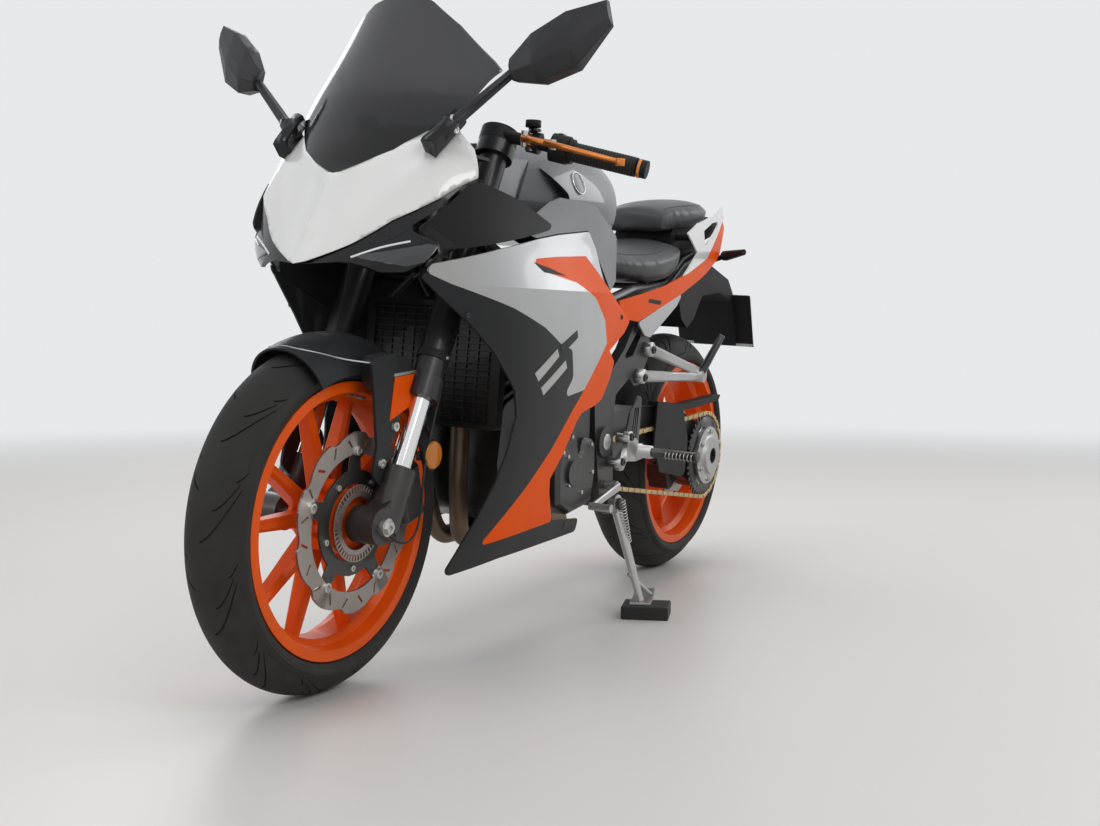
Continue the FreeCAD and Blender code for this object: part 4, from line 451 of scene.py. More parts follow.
def pullOut(bm, faces, step):  # gives flat faces a thickness
    pulled = bmesh.ops.extrude_face_region(bm, geom=faces)["geom"]
    bmesh.ops.translate(bm, vec=step, verts=[item for item in pulled if isinstance(item, bmesh.types.BMVert)])


def addPlate(bm, outline, thickness, centre, right=(1, 0, 0), up=(0, 0, 1)):
    centre, right, up = Vector(centre), Vector(right), Vector(up)
    face = bm.faces.new([bm.verts.new(centre + right * a + up * b) for a, b in outline])
    pullOut(bm, [face], right.cross(up).normalized() * thickness)


def addLoft(bm, rings):  # a closed bar pulled from the first ring of points through the others
    face = bm.faces.new([bm.verts.new(point) for point in rings[0]])
    for number, ring in enumerate(rings[1:]):
        pulled = bmesh.ops.extrude_face_region(bm, geom=[face], use_keep_orig=number == 0)["geom"]
        if number:
            bmesh.ops.delete(bm, geom=[face], context='FACES_ONLY')
        face = next(item for item in pulled if isinstance(item, bmesh.types.BMFace))
        for vert, point in zip(face.verts, ring):
            vert.co = point


def addTurned(bm, profile, centre, steps, axis=(0, 1, 0), radial=(1, 0, 0), closed=True):  # (along, radius) points
    along, out = Vector(axis).normalized(), Vector(radial).normalized()
    ring = [bm.verts.new(Vector(centre) + along * a + out * r) for a, r in profile]
    edges = [bm.edges.new(pair) for pair in zip(ring, ring[1:] + ring[:1] if closed else ring[1:])]
    before = set(bm.verts) - set(ring)
    bmesh.ops.spin(bm, geom=ring + edges, cent=centre, axis=along, angle=2 * math.pi, steps=steps, use_merge=True)
    bmesh.ops.remove_doubles(bm, verts=[vert for vert in bm.verts if vert not in before], dist=0.001)


def sleeve(low, high, inner, outer):  # the section of a plain ring for addTurned
    return [(low, inner), (low, outer), (high, outer), (high, inner)]


def addTorus(bm, centre, axis, radius, thickness, steps, sides):
    profile = [(thickness * math.sin(turn), radius + thickness * math.cos(turn))
               for turn in (2 * math.pi * k / sides for k in range(sides))]
    addTurned(bm, profile, centre, steps, axis, Vector(axis).orthogonal())


def hose(name, points, radius, body, look, sides=3):  # a cable or hose along a smooth curve
    curve = bpy.data.curves.new(name, 'CURVE')
    curve.dimensions = '3D'
    curve.bevel_depth = radius * 0.001
    curve.bevel_resolution = sides
    curve.resolution_u = 8
    curve.use_fill_caps = True
    line = curve.splines.new('NURBS')
    line.points.add(len(points) - 1)
    for point, place in zip(line.points, points):
        point.co = (*(toRest @ Vector(place)), 1.0)
    line.order_u = 3
    line.use_endpoint_u = True
    carrier = bpy.data.objects.new(name + "Line", curve)
    scene.collection.objects.link(carrier)
    bpy.context.view_layer.update()
    mesh = bpy.data.meshes.new_from_object(carrier.evaluated_get(bpy.context.evaluated_depsgraph_get()))
    bpy.data.objects.remove(carrier)
    mesh.shade_smooth()
    mesh.materials.clear()
    addPiece(name, mesh, body, look)


def arcThrough(a, b, c, count):  # points of the circle through three flat points
    (ax, ay), (bx, by), (cx, cy) = a, b, c
    d = 2 * (ax * (by - cy) + bx * (cy - ay) + cx * (ay - by))
    ux = ((ax * ax + ay * ay) * (by - cy) + (bx * bx + by * by) * (cy - ay) + (cx * cx + cy * cy) * (ay - by)) / d
    uy = ((ax * ax + ay * ay) * (cx - bx) + (bx * bx + by * by) * (ax - cx) + (cx * cx + cy * cy) * (bx - ax)) / d
    radius = math.hypot(ax - ux, ay - uy)
    start, middle, end = (math.atan2(y - uy, x - ux) for x, y in (a, b, c))
    middle = start + (middle - start + math.pi) % (2 * math.pi) - math.pi
    end = middle + (end - middle + math.pi) % (2 * math.pi) - math.pi
    return [(ux + radius * math.cos(turn), uy + radius * math.sin(turn))
            for turn in (start + (end - start) * k / count for k in range(count + 1))]


shapeTrees = {}


def shapeTree(node):  # a built node as a search tree in bike millimetres
    if node not in shapeTrees:
        mesh = nodes[node].data
        shapeTrees[node] = BVHTree.FromPolygons([toBike @ vert.co for vert in mesh.vertices],
                                                [tuple(face.vertices) for face in mesh.polygons])
    return shapeTrees[node]


def landOn(surfaces, point, way, reach=400.0):  # where a ray through the point first meets the surfaces
    way = Vector(way).normalized()
    start = Vector(point) - way * reach / 2
    best = None
    for node in surfaces:
        hit, normal, _, far = shapeTree(node).ray_cast(start, way, reach)
        if hit and (best is None or far < best[2]):
            best = (hit, normal if normal.dot(way) < 0 else -normal, far)
    return best[:2] if best else None


filmSink = 0.6


def patch(name, surfaces, outline, way, look, lift=0.5, steps=10):  # a thin film on the bodywork
    bm = bmesh.new()
    bmesh.ops.create_grid(bm, x_segments=steps, y_segments=steps, size=0.5)
    a, b, c, d = (Vector(corner) for corner in outline)
    way = Vector(way).normalized()
    for vert in list(bm.verts):
        u, v = vert.co.x + 0.5, vert.co.y + 0.5
        landed = landOn(surfaces, a.lerp(b, u).lerp(d.lerp(c, u), v), way)
        if landed:
            vert.co = landed[0] - way * lift
        else:
            bm.verts.remove(vert)
    pullOut(bm, list(bm.faces), way * (lift + filmSink))
    newPiece(name, bm, "root", look)


def boltOn(bm, surfaces, point, way, *size):  # size: head radius and height, sides, socket
    landed = landOn(surfaces, point, way)
    if landed:
        addBolt(bm, landed[0], -Vector(way), *size)


def onSide(surfaces, side):  # the same surfaces' names for the left (1) or the right (-1)
    return [node.replace("left", "right") if side < 0 else node for node in surfaces]


def sideBolts(bm, surfaces, places, *size):
    for side in (1, -1):
        for x, y, z in places:
            boltOn(bm, onSide(surfaces, side), (x, side * y, z), (0, -side, 0), *size)


# Tyres: a turned section with cut grooves
tyres = {
    "frontTyre": dict(node="front_tyre", body="front_wheel", axle=frontAxle, radius=293.0, width=110.0, lipHalf=50.0,
                      way=1, bands=12),
    "rearTyre": dict(node="rear_tyre", body="rear_wheel", axle=rearAxle, radius=300.0, width=140.0, lipHalf=65.0,
                     way=-1, bands=13),
}
tyreShape = {"lipRadius": 232.5, "seatRadius": 218.3, "beadInset": 5.3, "shoulder": 68.0, "bulgeUp": 4.0,
             "ribs": ((0.34, 0.8), (0.62, 1.0)), "grooveDepth": 3.2, "grooveSteps": 8, "endWidth": 0.35,
             "taperPace": 0.8, "taperBegin": 0.12, "curl": 1.6, "cutterOver": 2.0, "crownSteps": 28, "wallSteps": 22,
             "steps": 144, "crease": 38}
# each groove: start and end angle across the crown, sweep round the wheel, offset round the wheel, width
grooves = ((7.0, 63.0, 17.0, 0.0, 5.5), (24.0, 58.0, 9.0, 9.5, 4.5), (50.0, 66.0, 4.0, 19.0, 4.0))


def tyrePiece(name, node, body, axle, radius, width, lipHalf, way, bands):
    crown, shoulder = width / 2, math.radians(tyreShape["shoulder"])
    low, seat, bead = tyreShape["lipRadius"], tyreShape["seatRadius"], lipHalf - tyreShape["beadInset"]
    steps, narrow, over = tyreShape["grooveSteps"], tyreShape["endWidth"], tyreShape["cutterOver"]
    pace, begin = tyreShape["taperPace"], tyreShape["taperBegin"]
    side = crown * math.sin(shoulder), radius - crown + crown * math.cos(shoulder)
    bulge = crown, (low + radius - crown) / 2 + tyreShape["bulgeUp"]
    crownArc = arcThrough((-side[0], side[1]), (0, radius), side, tyreShape["crownSteps"])
    wall = arcThrough(side, bulge, (bead, low), tyreShape["wallSteps"])
    for spot, rise in tyreShape["ribs"]:  # raised rings on the sidewall
        index = int(spot * len(wall))
        wall[index] = (wall[index][0] + rise, wall[index][1])
    other = [(-y, r) for y, r in reversed(wall)]
    bm = bmesh.new()
    addTurned(bm, crownArc + wall[1:] + [(bead, seat), (-bead, seat)] + other[:-1], axle, tyreShape["steps"])
    tyre = newPiece(name, bm, body, "tyreRubber", tyreShape["crease"])
    cutter = bmesh.new()
    for band in range(bands):
        for mirror in (1, -1):
            for start, end, sweep, offset, wide in grooves:
                rings = []
                for along in (k / steps for k in range(steps + 1)):
                    lay = math.radians(start + (end - start) * along)
                    taper = narrow + (1 - narrow) * math.sin(math.pi * min(1.0, along * pace + begin))
                    turn = math.radians((band + (0.5 if mirror < 0 else 0)) * 360 / bands
                                        + way * (sweep * along ** tyreShape["curl"] + offset))
                    half, depth = wide * taper / 2 / radius, tyreShape["grooveDepth"] * (0.5 + 0.5 * taper)
                    rings.append([onRing(axle, radius - crown + (crown + deep) * math.cos(lay), turn + edge)
                                  + sideways * mirror * (crown + deep) * math.sin(lay)
                                  for edge, deep in ((-half, -depth), (half, -depth), (half, over), (-half, over))])
                addLoft(cutter, rings)
    cutPiece(tyre, cutter, tyreShape["crease"])
    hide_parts(node)


for name, settings in tyres.items():
    tyrePiece(name, **settings)
print("tyres cut")

# Front disc: ground ring on a dark carrier, bobbins, bolts and the slotted speed ring; y runs out along the axle
frontDisc = {"y": 66.0, "carrierRadius": 112.0, "carrierY": 66.5, "bobbins": 5, "bobbinTurn": 18.0,
             "bobbinReach": 119.0, "bobbin": ((5.5, 4.2), (5.5, 8.2), (7.7, 8.2), (8.3, 7.2), (8.3, 4.6)),
             "boltReach": 76.0, "boltSize": (6.0, 4.0),
             "sleeves": (  # from y, to y, inner and outer radius, steps
                 (74, 76, 50, 53, 72), (74, 76, 62, 64, 72), (64, 76, 44, 50, 60)),
             "slots": 48, "slotReach": 57.0, "slotY": 75.0, "slotSize": (10.0, 2.0, 3.4)}


def nearAxle(point, axle):
    return math.hypot(point.x - axle.x, point.z - axle.z)


dressNode("front_disc", "frontDisc", "front_wheel", ("discSteel", "blackMetal"),
          lambda p, n: 1 if nearAxle(p, frontAxle) < frontDisc["carrierRadius"] and p.y < frontDisc["carrierY"] else 0)


def discFittings():
    bm, step, face = bmesh.new(), 360 / frontDisc["bobbins"], frontAxle + sideways * frontDisc["y"]
    for k in range(frontDisc["bobbins"]):
        turn = frontDisc["bobbinTurn"] + step * k
        addTurned(bm, frontDisc["bobbin"], onRing(face, frontDisc["bobbinReach"], math.radians(turn)), 28)
        bolt = onRing(face, frontDisc["boltReach"], math.radians(turn + step / 2))
        addBolt(bm, bolt, sideways, *frontDisc["boltSize"])
    newPiece("discBobbins", bm, "front_wheel", "brushedSteel")
    bm = bmesh.new()
    for low, high, inner, outer, steps in frontDisc["sleeves"]:
        addTurned(bm, sleeve(low, high, inner, outer), frontAxle, steps)
    for k in range(frontDisc["slots"]):
        turn = 2 * math.pi * k / frontDisc["slots"]
        place = onRing(frontAxle, frontDisc["slotReach"], turn) + sideways * frontDisc["slotY"]
        addBlock(bm, place, frontDisc["slotSize"], Matrix.Rotation(-turn, 4, 'Y'))
    newPiece("speedRing", bm, "front_wheel", "discSteel")


discFittings()

# Valve and balance weights, pressed on the inside of each rim
rims = {
    "front": dict(body="front_wheel", axle=frontAxle, valveY=22, weightY=30),
    "rear": dict(body="rear_wheel", axle=rearAxle, valveY=-34, weightY=-44),
}
rimFittings = {"reach": 207.0, "valveTurn": 200.0, "valve": ((0.0, 0.0), (26.0, 8.0), (34.0, 10.5)), "weights": 3,
               "foot": (4.2, 3.6, 16), "cap": (4.6, 4.4, 12), "weightTurn": 96.0, "weightStep": 4.4,
               "weightSize": (4.5, 16.0, 13.0)}


def wheelFittings(name, body, axle, valveY, weightY):
    bm, turn = bmesh.new(), math.radians(rimFittings["valveTurn"])
    foot, neck, tip = (onRing(axle, rimFittings["reach"] - inward, turn) + sideways * (valveY + out)
                       for inward, out in rimFittings["valve"])
    addRod(bm, foot, neck, *rimFittings["foot"])
    addRod(bm, neck, tip, *rimFittings["cap"])
    newPiece(name + "Valve", bm, body, "gripRubber")
    bm = bmesh.new()
    for k in range(rimFittings["weights"]):
        turn = math.radians(rimFittings["weightTurn"] + rimFittings["weightStep"] * k)
        place = onRing(axle, rimFittings["reach"], turn) + sideways * weightY
        addBlock(bm, place, rimFittings["weightSize"], Matrix.Rotation(-turn, 4, 'Y'), 1.0)
    newPiece(name + "Weights", bm, body, "castSilver")


for name, settings in rims.items():
    wheelFittings(name, **settings)

# Rear sprocket teeth, hub bolts and the carrier's hole, filled with a matt black cup as painted shade
rearDrive = {"y": 125.0, "teeth": 40, "root": 96.0, "tip": 107.5, "plate": 4.0, "boltReach": 60.0,
             "boltTurns": (30, 90, 150, 210, 270, 330), "boltUp": 14.0, "boltSize": (7.5, 6.0, 6, 0),
             "studUp": (20.0, 23.0), "stud": (3.6, 3.2, 12), "darkFrom": 76.0, "darkBelow": 130.0,
             "holeShadeCup": ((118, 0.5), (118, 19.6), (150.5, 19.6), (150.5, 16.5), (140, 15.0), (140, 0.5))}


def gear(bm, centre, teeth, root, tip, y, thickness):
    shape = ((0.0, root), (0.16, root), (0.34, tip - 1), (0.42, tip), (0.58, tip), (0.66, tip - 1), (0.84, root))
    places = [(2 * math.pi * (k + share) / teeth, reach) for k in range(teeth) for share, reach in shape]
    addPlate(bm, [(reach * math.cos(turn), reach * math.sin(turn)) for turn, reach in places], thickness,
             (centre.x, y + thickness / 2, centre.z))


dressNode("rear_sprocket", "rearCarrier", "rear_wheel", ("castSilver", "charcoalMetal"),
          lambda p, n: 1 if nearAxle(p, rearAxle) > rearDrive["darkFrom"] and p.y < rearDrive["darkBelow"] else 0)


def driveFittings():
    bm, y = bmesh.new(), rearDrive["y"]
    gear(bm, rearAxle, rearDrive["teeth"], rearDrive["root"], rearDrive["tip"], y, rearDrive["plate"])
    newPiece("sprocketTeeth", bm, "rear_wheel", "charcoalMetal")
    bm = bmesh.new()
    for turn in rearDrive["boltTurns"]:
        place = onRing(rearAxle, rearDrive["boltReach"], math.radians(turn)) + sideways * y
        addBolt(bm, place + sideways * rearDrive["boltUp"], sideways, *rearDrive["boltSize"])
        start, end = (place + sideways * up for up in rearDrive["studUp"])
        addRod(bm, start, end, *rearDrive["stud"])
    newPiece("hubBolts", bm, "rear_wheel", "brushedSteel")
    bm = bmesh.new()
    # the matt black cup paints the shade inside the hole at the axle's end
    addTurned(bm, rearDrive["holeShadeCup"], rearAxle, 48)
    newPiece("hubHoleShade", bm, "rear_wheel", "mattBlack")


driveFittings()

# Chain: plates and rollers set round the two sprockets; pin and roller are half length, radius and sides
chain = {"y": 125.0, "links": 112, "frontPlace": Vector((-2.0, 0.0, 330.0)), "frontRadius": 38.0, "rearRadius": 106.0,
         "plateHeight": 9.5, "plateThickness": 1.5, "plateOverlap": 7.0, "halfWidth": 4.4, "innerStep": 1.6,
         "pin": (5.6, 2.6, 10), "roller": (2.6, 4.6, 12), "frontTeeth": 15, "frontShaft": (106.0, 132.0, 15.0),
         "plateBevel": 2.6, "frontRoot": 33.0, "frontTip": 41.0, "frontPlate": 5.0}


def chainPath():
    front, small, large = chain["frontPlace"], chain["frontRadius"], chain["rearRadius"]
    gap = (front - rearAxle).length
    lie = math.atan2(front.z - rearAxle.z, front.x - rearAxle.x)
    opening = math.acos((large - small) / gap)
    straight = math.sqrt(gap ** 2 - (large - small) ** 2)
    frontArc = small * 2 * opening
    total = 2 * straight + frontArc + large * (2 * math.pi - 2 * opening)

    def point(distance):
        distance %= total
        if distance < straight:
            start, end = onRing(rearAxle, large, lie + opening), onRing(front, small, lie + opening)
            return start.lerp(end, distance / straight)
        distance -= straight
        if distance < frontArc:
            return onRing(front, small, lie + opening - distance / small)
        distance -= frontArc
        if distance < straight:
            start, end = onRing(front, small, lie - opening), onRing(rearAxle, large, lie - opening)
            return start.lerp(end, distance / straight)
        return onRing(rearAxle, large, lie - opening - (distance - straight) / large)
    return point, total


def chainPieces():
    point, total = chainPath()
    plates, rollers = bmesh.new(), bmesh.new()
    pitch, middle = total / chain["links"], sideways * chain["y"]
    size = (pitch + chain["plateOverlap"], chain["plateThickness"], chain["plateHeight"])
    for k in range(chain["links"]):
        a, b = point(k * pitch), point((k + 1) * pitch)
        turn = Matrix.Rotation(-math.atan2(b.z - a.z, b.x - a.x), 4, 'Y')
        spread = chain["halfWidth"] - (chain["innerStep"] if k % 2 else 0.0)
        for side in (1, -1):
            addBlock(plates, (a + b) / 2 + middle + sideways * side * spread, size, turn, chain["plateBevel"], 1)
        for half, radius, sides in (chain["pin"], chain["roller"]):
            addRod(rollers, a + middle - sideways * half, a + middle + sideways * half, radius, None, sides)
    links = newPiece("chainLinks", plates, "root", "chainGold")
    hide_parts("drive_chain")
    newPiece("chainRollers", rollers, "root", "brushedSteel")
    bm, front = bmesh.new(), chain["frontPlace"]
    gear(bm, front, chain["frontTeeth"], chain["frontRoot"], chain["frontTip"], chain["y"], chain["frontPlate"])
    inner, outer, radius = chain["frontShaft"]
    addRod(bm, front + sideways * inner, front + sideways * outer, radius, None, 6)
    wheel = newPiece("frontSprocket", bm, "root", "brushedSteel")
    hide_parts("drive_chain")


chainPieces()
print("wheels and chain fitted")

# Fork: film and bolts on the mudguard's struts, reflectors and bands
fork = {"trap": ((634, 532), (554, 539), (580, 485), (644, 460)), "film": 0.9, "strutY": 97.0,
        "bolts": ((628, 450), (662, 391)), "axleNut": (690, 135.5, 293), "bandUp": 300.0, "reflector": (558, 125, 400),
        "glass": ((9, 0.4), (9, 16), (8, 22), (5, 24), (2, 24), (2, 0.4)),
        "glassRim": ((-1, 0.4), (-1, 26), (1, 27), (5, 26.5), (5, 24.2), (2, 24.2), (2, 0.4)),
        "mount": ((14, -6, 0), (40, 4, 16), 1.5), "boltSize": (9.0, 4.5), "band": (-7, 7, 25.8, 28.6), "bandOut": 27.0,
        "bandBolt": (4.5, 4.0), "nutSize": (13.0, 6.0, 6, 0.45)}


def forkFittings():
    orange, line, bolts, amber, rim = (bmesh.new() for _ in range(5))
    for side in (1, -1):
        y = side * (fork["strutY"] + (fork["film"] if side > 0 else 0.0))
        addPlate(orange, fork["trap"], fork["film"], (0, y, 0))
        (x0, z0), (x1, z1) = fork["trap"][:2]
        edge = ((x0 + 1, z0 + 1), (x0 + 2, z0 + 6), (x1 - 6, z1 + 6), (x1 - 1, z1 + 1))
        addPlate(line, edge, fork["film"], (0, y, 0))
        for x, z in fork["bolts"]:
            addBolt(bolts, (x, side * fork["strutY"], z), (0, side, 0), *fork["boltSize"])
        x, away, z = fork["reflector"]
        centre = Vector((x, side * away, z))
        for bm, profile in ((amber, fork["glass"]), (rim, fork["glassRim"])):
            addTurned(bm, [(a * side, r) for a, r in profile], centre, 48)
        (ahead, out, up), size, bevel = fork["mount"]
        addBlock(rim, centre + Vector((ahead, out * side, up)), size, None, bevel)
        band = legPoint(fork["bandUp"], side)
        addTurned(rim, sleeve(*fork["band"]), band, 48, upFork, sideways)
        addBolt(bolts, band + sideways * side * fork["bandOut"], (0, side, 0), *fork["bandBolt"])
        x, away, z = fork["axleNut"]
        addBolt(bolts, (x, side * away, z), (0, side, 0), *fork["nutSize"])
    newPiece("strutTrim", orange, "steering", "orangePaint")
    newPiece("strutLine", line, "steering", "castSilver")
    newPiece("forkBolts", bolts, "steering", "brushedSteel")
    newPiece("forkReflectors", amber, "steering", "amberLens")
    newPiece("forkBands", rim, "steering", "mattBlack")


forkFittings()

# A bright edge along the front of the mudguard: a thin silver bead that paints the edge's highlight
mudguardEdge = {"half": ((689, 94, 556), (712, 88, 563), (734, 80, 570), (770, 62, 578), (796, 46, 586),
                         (809, 30, 592), (813, 0, 596)), "radius": 1.5}


def mudguardEdgeHighlight():
    tree, half = shapeTree("front_mudguard"), mudguardEdge["half"]
    places = half + tuple((x, -y, z) for x, y, z in half[-2::-1])
    hose("mudguardEdgeHighlight", [tree.find_nearest(Vector(place))[0] for place in places], mudguardEdge["radius"], "steering",
         "castSilver")


mudguardEdgeHighlight()

# Brake hose and sensor cable down the left fork leg: height on the leg and shift from its axis
hoses = {
    "brakeHose": dict(radius=3.6, points=((500, (-34, -6, 0)), (430, (-38, 4, 0)), (330, (-40, 6, 0)),
                                          (220, (-44, -4, 0)), (130, (-46, -22, 0)))),
    "sensorCable": dict(radius=2.0, points=((250, (-28, 16, 0)), (170, (-30, 20, 0)), (90, (-34, 26, 0)),
                                            (40, (-46, 32, -10)), (-10, (-50, 34, -16)), (-38, (-18, 34, 0)),
                                            (-22, (16, 30, 6)))),
}
for name, settings in hoses.items():
    hose(name, [legPoint(up) + Vector(shift) for up, shift in settings["points"]], settings["radius"], "steering",
         "gripRubber")

clips = {"up": (440, 340), "band": (-5, 5, 26.2, 28.4), "block": (14, 12, 9), "blockShift": (-34, 3, 0),
         "capUp": (746, 752), "capSize": (19, 18, 36), "capBolt": (11.0, 7.0, 6, 0.4)}


def hoseClips():
    bm, caps = bmesh.new(), bmesh.new()
    for up in clips["up"]:
        addTurned(bm, sleeve(*clips["band"]), legPoint(up), 40, upFork, sideways)
        addBlock(bm, legPoint(up) + Vector(clips["blockShift"]), clips["block"], None, 1.5)
    low, high = clips["capUp"]
    for side in (1, -1):
        addRod(bm, legPoint(low, side), legPoint(high, side), *clips["capSize"])
        addBolt(caps, legPoint(high, side), upFork, *clips["capBolt"])
    newPiece("hoseClips", bm, "steering", "blackMetal")
    newPiece("forkCaps", caps, "steering", "brushedSteel")


hoseClips()

# Levers, grips and bar ends; shares run along the bar
controls = {"bladeFrom": 170.0, "bladeAhead": 30.0, "gripRings": 22, "gripFrom": 0.515, "gripLength": 0.40,
            "ring": ((-1.9, 16.6), (-1.2, 17.9), (1.2, 17.9), (1.9, 16.6)),
            "collar": ((-3, 16.6), (-3, 21), (1.5, 21.5), (3, 20), (3, 16.6)), "collarAt": 0.497,
            "endRing": (-2.5, 2.5, 15.8, 17.3), "endAt": 0.965, "fluidCap": (0.26, (10, 20), (10, 24), 11.0, 10.0),
            "rods": (  # share, start and end as (ahead, up) of the bar, radius, sides
                (0.43, (38, -6), (38, 12), 7.5, 10), (0.24, (38, -12), (38, 16), 6.0, 18),
                (0.24, (12, -13), (22, -13), 3.4, 12), (0.24, (12, 13), (22, 13), 3.4, 12)),
            "switches": (  # share, ahead, up, size, bevel
                (0.395, -24, 8, (7, 11, 8), 1.6), (0.43, -24, 10, (7, 14, 9), 1.6), (0.455, -24, -2, (6, 10, 12), 1.6),
                (0.42, 0, 24, (18, 12, 6), 2.0))}


def besideBar(share, side, ahead, up):
    return barPoint(share, side) + Vector((ahead, 0, up))


def onBlade(point, normal):  # the levers' blades lie ahead of the bar
    share = (abs(point.y) - bike["barRoot"][1]) / (bike["barEnd"][1] - bike["barRoot"][1])
    return 1 if abs(point.y) > controls["bladeFrom"] and point.x > barPoint(share).x + controls["bladeAhead"] else 0


dressNode("hand_controls", "handControls", "steering", ("mattBlack", "anodOrange"), onBlade)


def barFittings():
    rings, ends, silver, switches = (bmesh.new() for _ in range(4))
    for side in (1, -1):
        axis = barPoint(1, side) - barPoint(0, side)
        for k in range(controls["gripRings"]):
            share = controls["gripFrom"] + controls["gripLength"] * k / (controls["gripRings"] - 1)
            addTurned(rings, controls["ring"], barPoint(share, side), 24, axis, upright, False)
        addTurned(rings, controls["collar"], barPoint(controls["collarAt"], side), 36, axis, upright)
        addTurned(ends, sleeve(*controls["endRing"]), barPoint(controls["endAt"], side), 40, axis, upright)
        for share, start, end, radius, sides in controls["rods"]:
            addRod(silver, besideBar(share, side, *start), besideBar(share, side, *end), radius, None, sides)
        for share, ahead, up, size, bevel in controls["switches"]:
            addBlock(switches, besideBar(share, side, ahead, up), size, None, bevel)
        share, start, end, low, high = controls["fluidCap"]
        addRod(switches, besideBar(share, side, *start), besideBar(share, side, *end), low, high)
    newPiece("switches", switches, "steering", "pianoBlack")
    newPiece("gripRings", rings, "steering", "gripRubber")
    newPiece("barEndRings", ends, "steering", "anodOrange")
    newPiece("leverFittings", silver, "steering", "brushedSteel")


barFittings()

# Mirrors: reflecting faces and glossy feet
mirrorHead = {"from": 272.0, "facing": -0.86, "footWithin": 168.0}


def mirrorLook(point, normal):
    if abs(point.y) > mirrorHead["from"] and normal.x < mirrorHead["facing"]:
        return 1
    return 2 if abs(point.y) < mirrorHead["footWithin"] else 0


dressNode("mirrors", "mirrorPair", "root", ("mirrorShell", "mirrorGlass", "pianoBlack"), mirrorLook)

# Nose: a central ridge between two soft channels, a crease to the cheek and a drawn-out tip
nose = {"ridge": 4.0, "ridgeWidth": 9.0, "channel": 3.6, "channelWidth": 13.0, "channelOut": (16.0, 30.0),
        "from": 722.0, "to": 868.0, "riseWay": (0.72, 0, 0.69), "crease": ((740.0, 70.0, 775.0), (600.0, 175.0, 925.0)),
        "creaseDepth": 2.2, "creaseWidth": 16.0, "cell": 12.0, "passes": 3, "tip": 13.0, "tipWidth": 22.0,
        "tipFoot": 716.0, "tipRise": 75.0, "tipWay": (0.8, 0, -0.55), "smoothing": 50, "creaseWay": (0.5, 0.6, 0.6),
        "fadeTop": 6, "fadeFoot": 4}


def bell(value, width):
    return math.exp(-(value / width) ** 2)


def clamp(value):
    return min(1.0, max(0.0, value))


def nosePiece():
    bm = nodeShape("nose_fairing")
    for _ in range(nose["passes"]):
        long = [edge for edge in bm.edges if edge.calc_length() > nose["cell"]]
        bmesh.ops.subdivide_edges(bm, edges=long, cuts=1)
        bmesh.ops.triangulate(bm, faces=[face for face in bm.faces if len(face.verts) > 4])
    start, end = (Vector(place) for place in nose["crease"])
    (near, far), (ahead, out, up) = nose["channelOut"], nose["creaseWay"]
    for vert in bm.verts:
        x, y, z = vert.co
        share = (z - nose["from"]) / (nose["to"] - nose["from"])
        fade = clamp((1 - share) * nose["fadeTop"]) * clamp(share * nose["fadeFoot"])
        off = abs(y) - near - (far - near) * share
        high = nose["ridge"] * bell(y, nose["ridgeWidth"]) - nose["channel"] * bell(off, nose["channelWidth"])
        place = Vector((x, abs(y), z))
        along = clamp((place - start).dot(end - start) / (end - start).length_squared)
        away = (place - start.lerp(end, along)).length
        crease = nose["creaseDepth"] * bell(away, nose["creaseWidth"]) * math.sin(math.pi * along) ** 0.5
        tip = nose["tip"] * math.exp(-abs(y) / nose["tipWidth"]) * clamp(1 - (z - nose["tipFoot"]) / nose["tipRise"])
        vert.co += Vector(nose["tipWay"]) * tip + Vector(nose["riseWay"]) * high * fade
        vert.co += Vector((ahead, math.copysign(out, y), up)) * crease
    piece = newPiece("noseShell", bm, "root", "pearlWhite", nose["smoothing"], outward=False)
    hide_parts("nose_fairing")


nosePiece()

# Lamps' bright strips, dark grey bands beside them painted as the light on the housing's folds (painted light), and the
# mirrors' screws
lamps = {"strip": ((745, 82, 723), (729, 106, 735), (710, 130, 745), (690, 156, 753)), "stripRadius": 1.7,
         "stripLift": 0.4, "foldLightBands": (((714, 124, 750), (686, 149, 780), (680, 166, 783), (700, 141, 761)),
                                     ((680, 172, 783), (612, 192, 751), (640, 184, 745), (688, 156, 763))),
         "foldWay": (-0.5, -0.86, 0), "foldLift": 0.6, "foldSteps": 8,
         "screws": ((612, 158, 955), (600, 166, 938)), "screwSize": (6.5, 2.5)}


def noseFittings():
    screws = bmesh.new()
    sideBolts(screws, ("mirrors",), lamps["screws"], *lamps["screwSize"])
    trees = [shapeTree(node) for node in ("headlight_lenses", "headlight_housing")]
    for side, word in ((1, "Left"), (-1, "Right")):
        places = []
        for x, y, z in lamps["strip"]:
            spot = Vector((x, side * y, z))
            place, normal, *_ = min((tree.find_nearest(spot) for tree in trees), key=lambda near: near[3])
            places.append(place + normal * lamps["stripLift"])
        hose("lampStrip" + word, places, lamps["stripRadius"], "root", "lampGlow")
        ahead, inwards, up = lamps["foldWay"]
        # these grey film patches paint the light falling on the housing's folds
        for number, fold in enumerate(lamps["foldLightBands"]):
            corners = [(x, side * y, z) for x, y, z in fold]
            patch("lampFoldLight%d%s" % (number, word), ("headlight_housing", "side_panels"), corners,
                  (ahead, inwards * side, up), "charcoalPaint", lamps["foldLift"], lamps["foldSteps"])
    newPiece("podScrews", screws, "root", "brushedSteel")


noseFittings()
print("front fitted")

# Cushions: the built seat forms remeshed and blown up a little as cloth, then smoothed
cushions = {
    "riderCushion": dict(node="rider_seat", start=-2.5, pressure=4.0, cap=6.0),
    "pillionCushion": dict(node="pillion_seat", start=-2.5, pressure=4.0, cap=6.0),
}
cushionMake = {"voxel": 0.006, "frames": 20, "smoothPasses": 9, "smoothFactor": 0.4, "seamRadius": 1.1, "seamSink": 0.2,
               "above": 1100.0, "edgeSearch": (200, 20, -2), "quality": 4}
seatSeams = {
    "riderCushion": dict(ends=(-96.0, -455.0), share=0.80, count=16),
    "pillionCushion": dict(ends=(-480.0, -722.0), share=0.82, count=14),
}


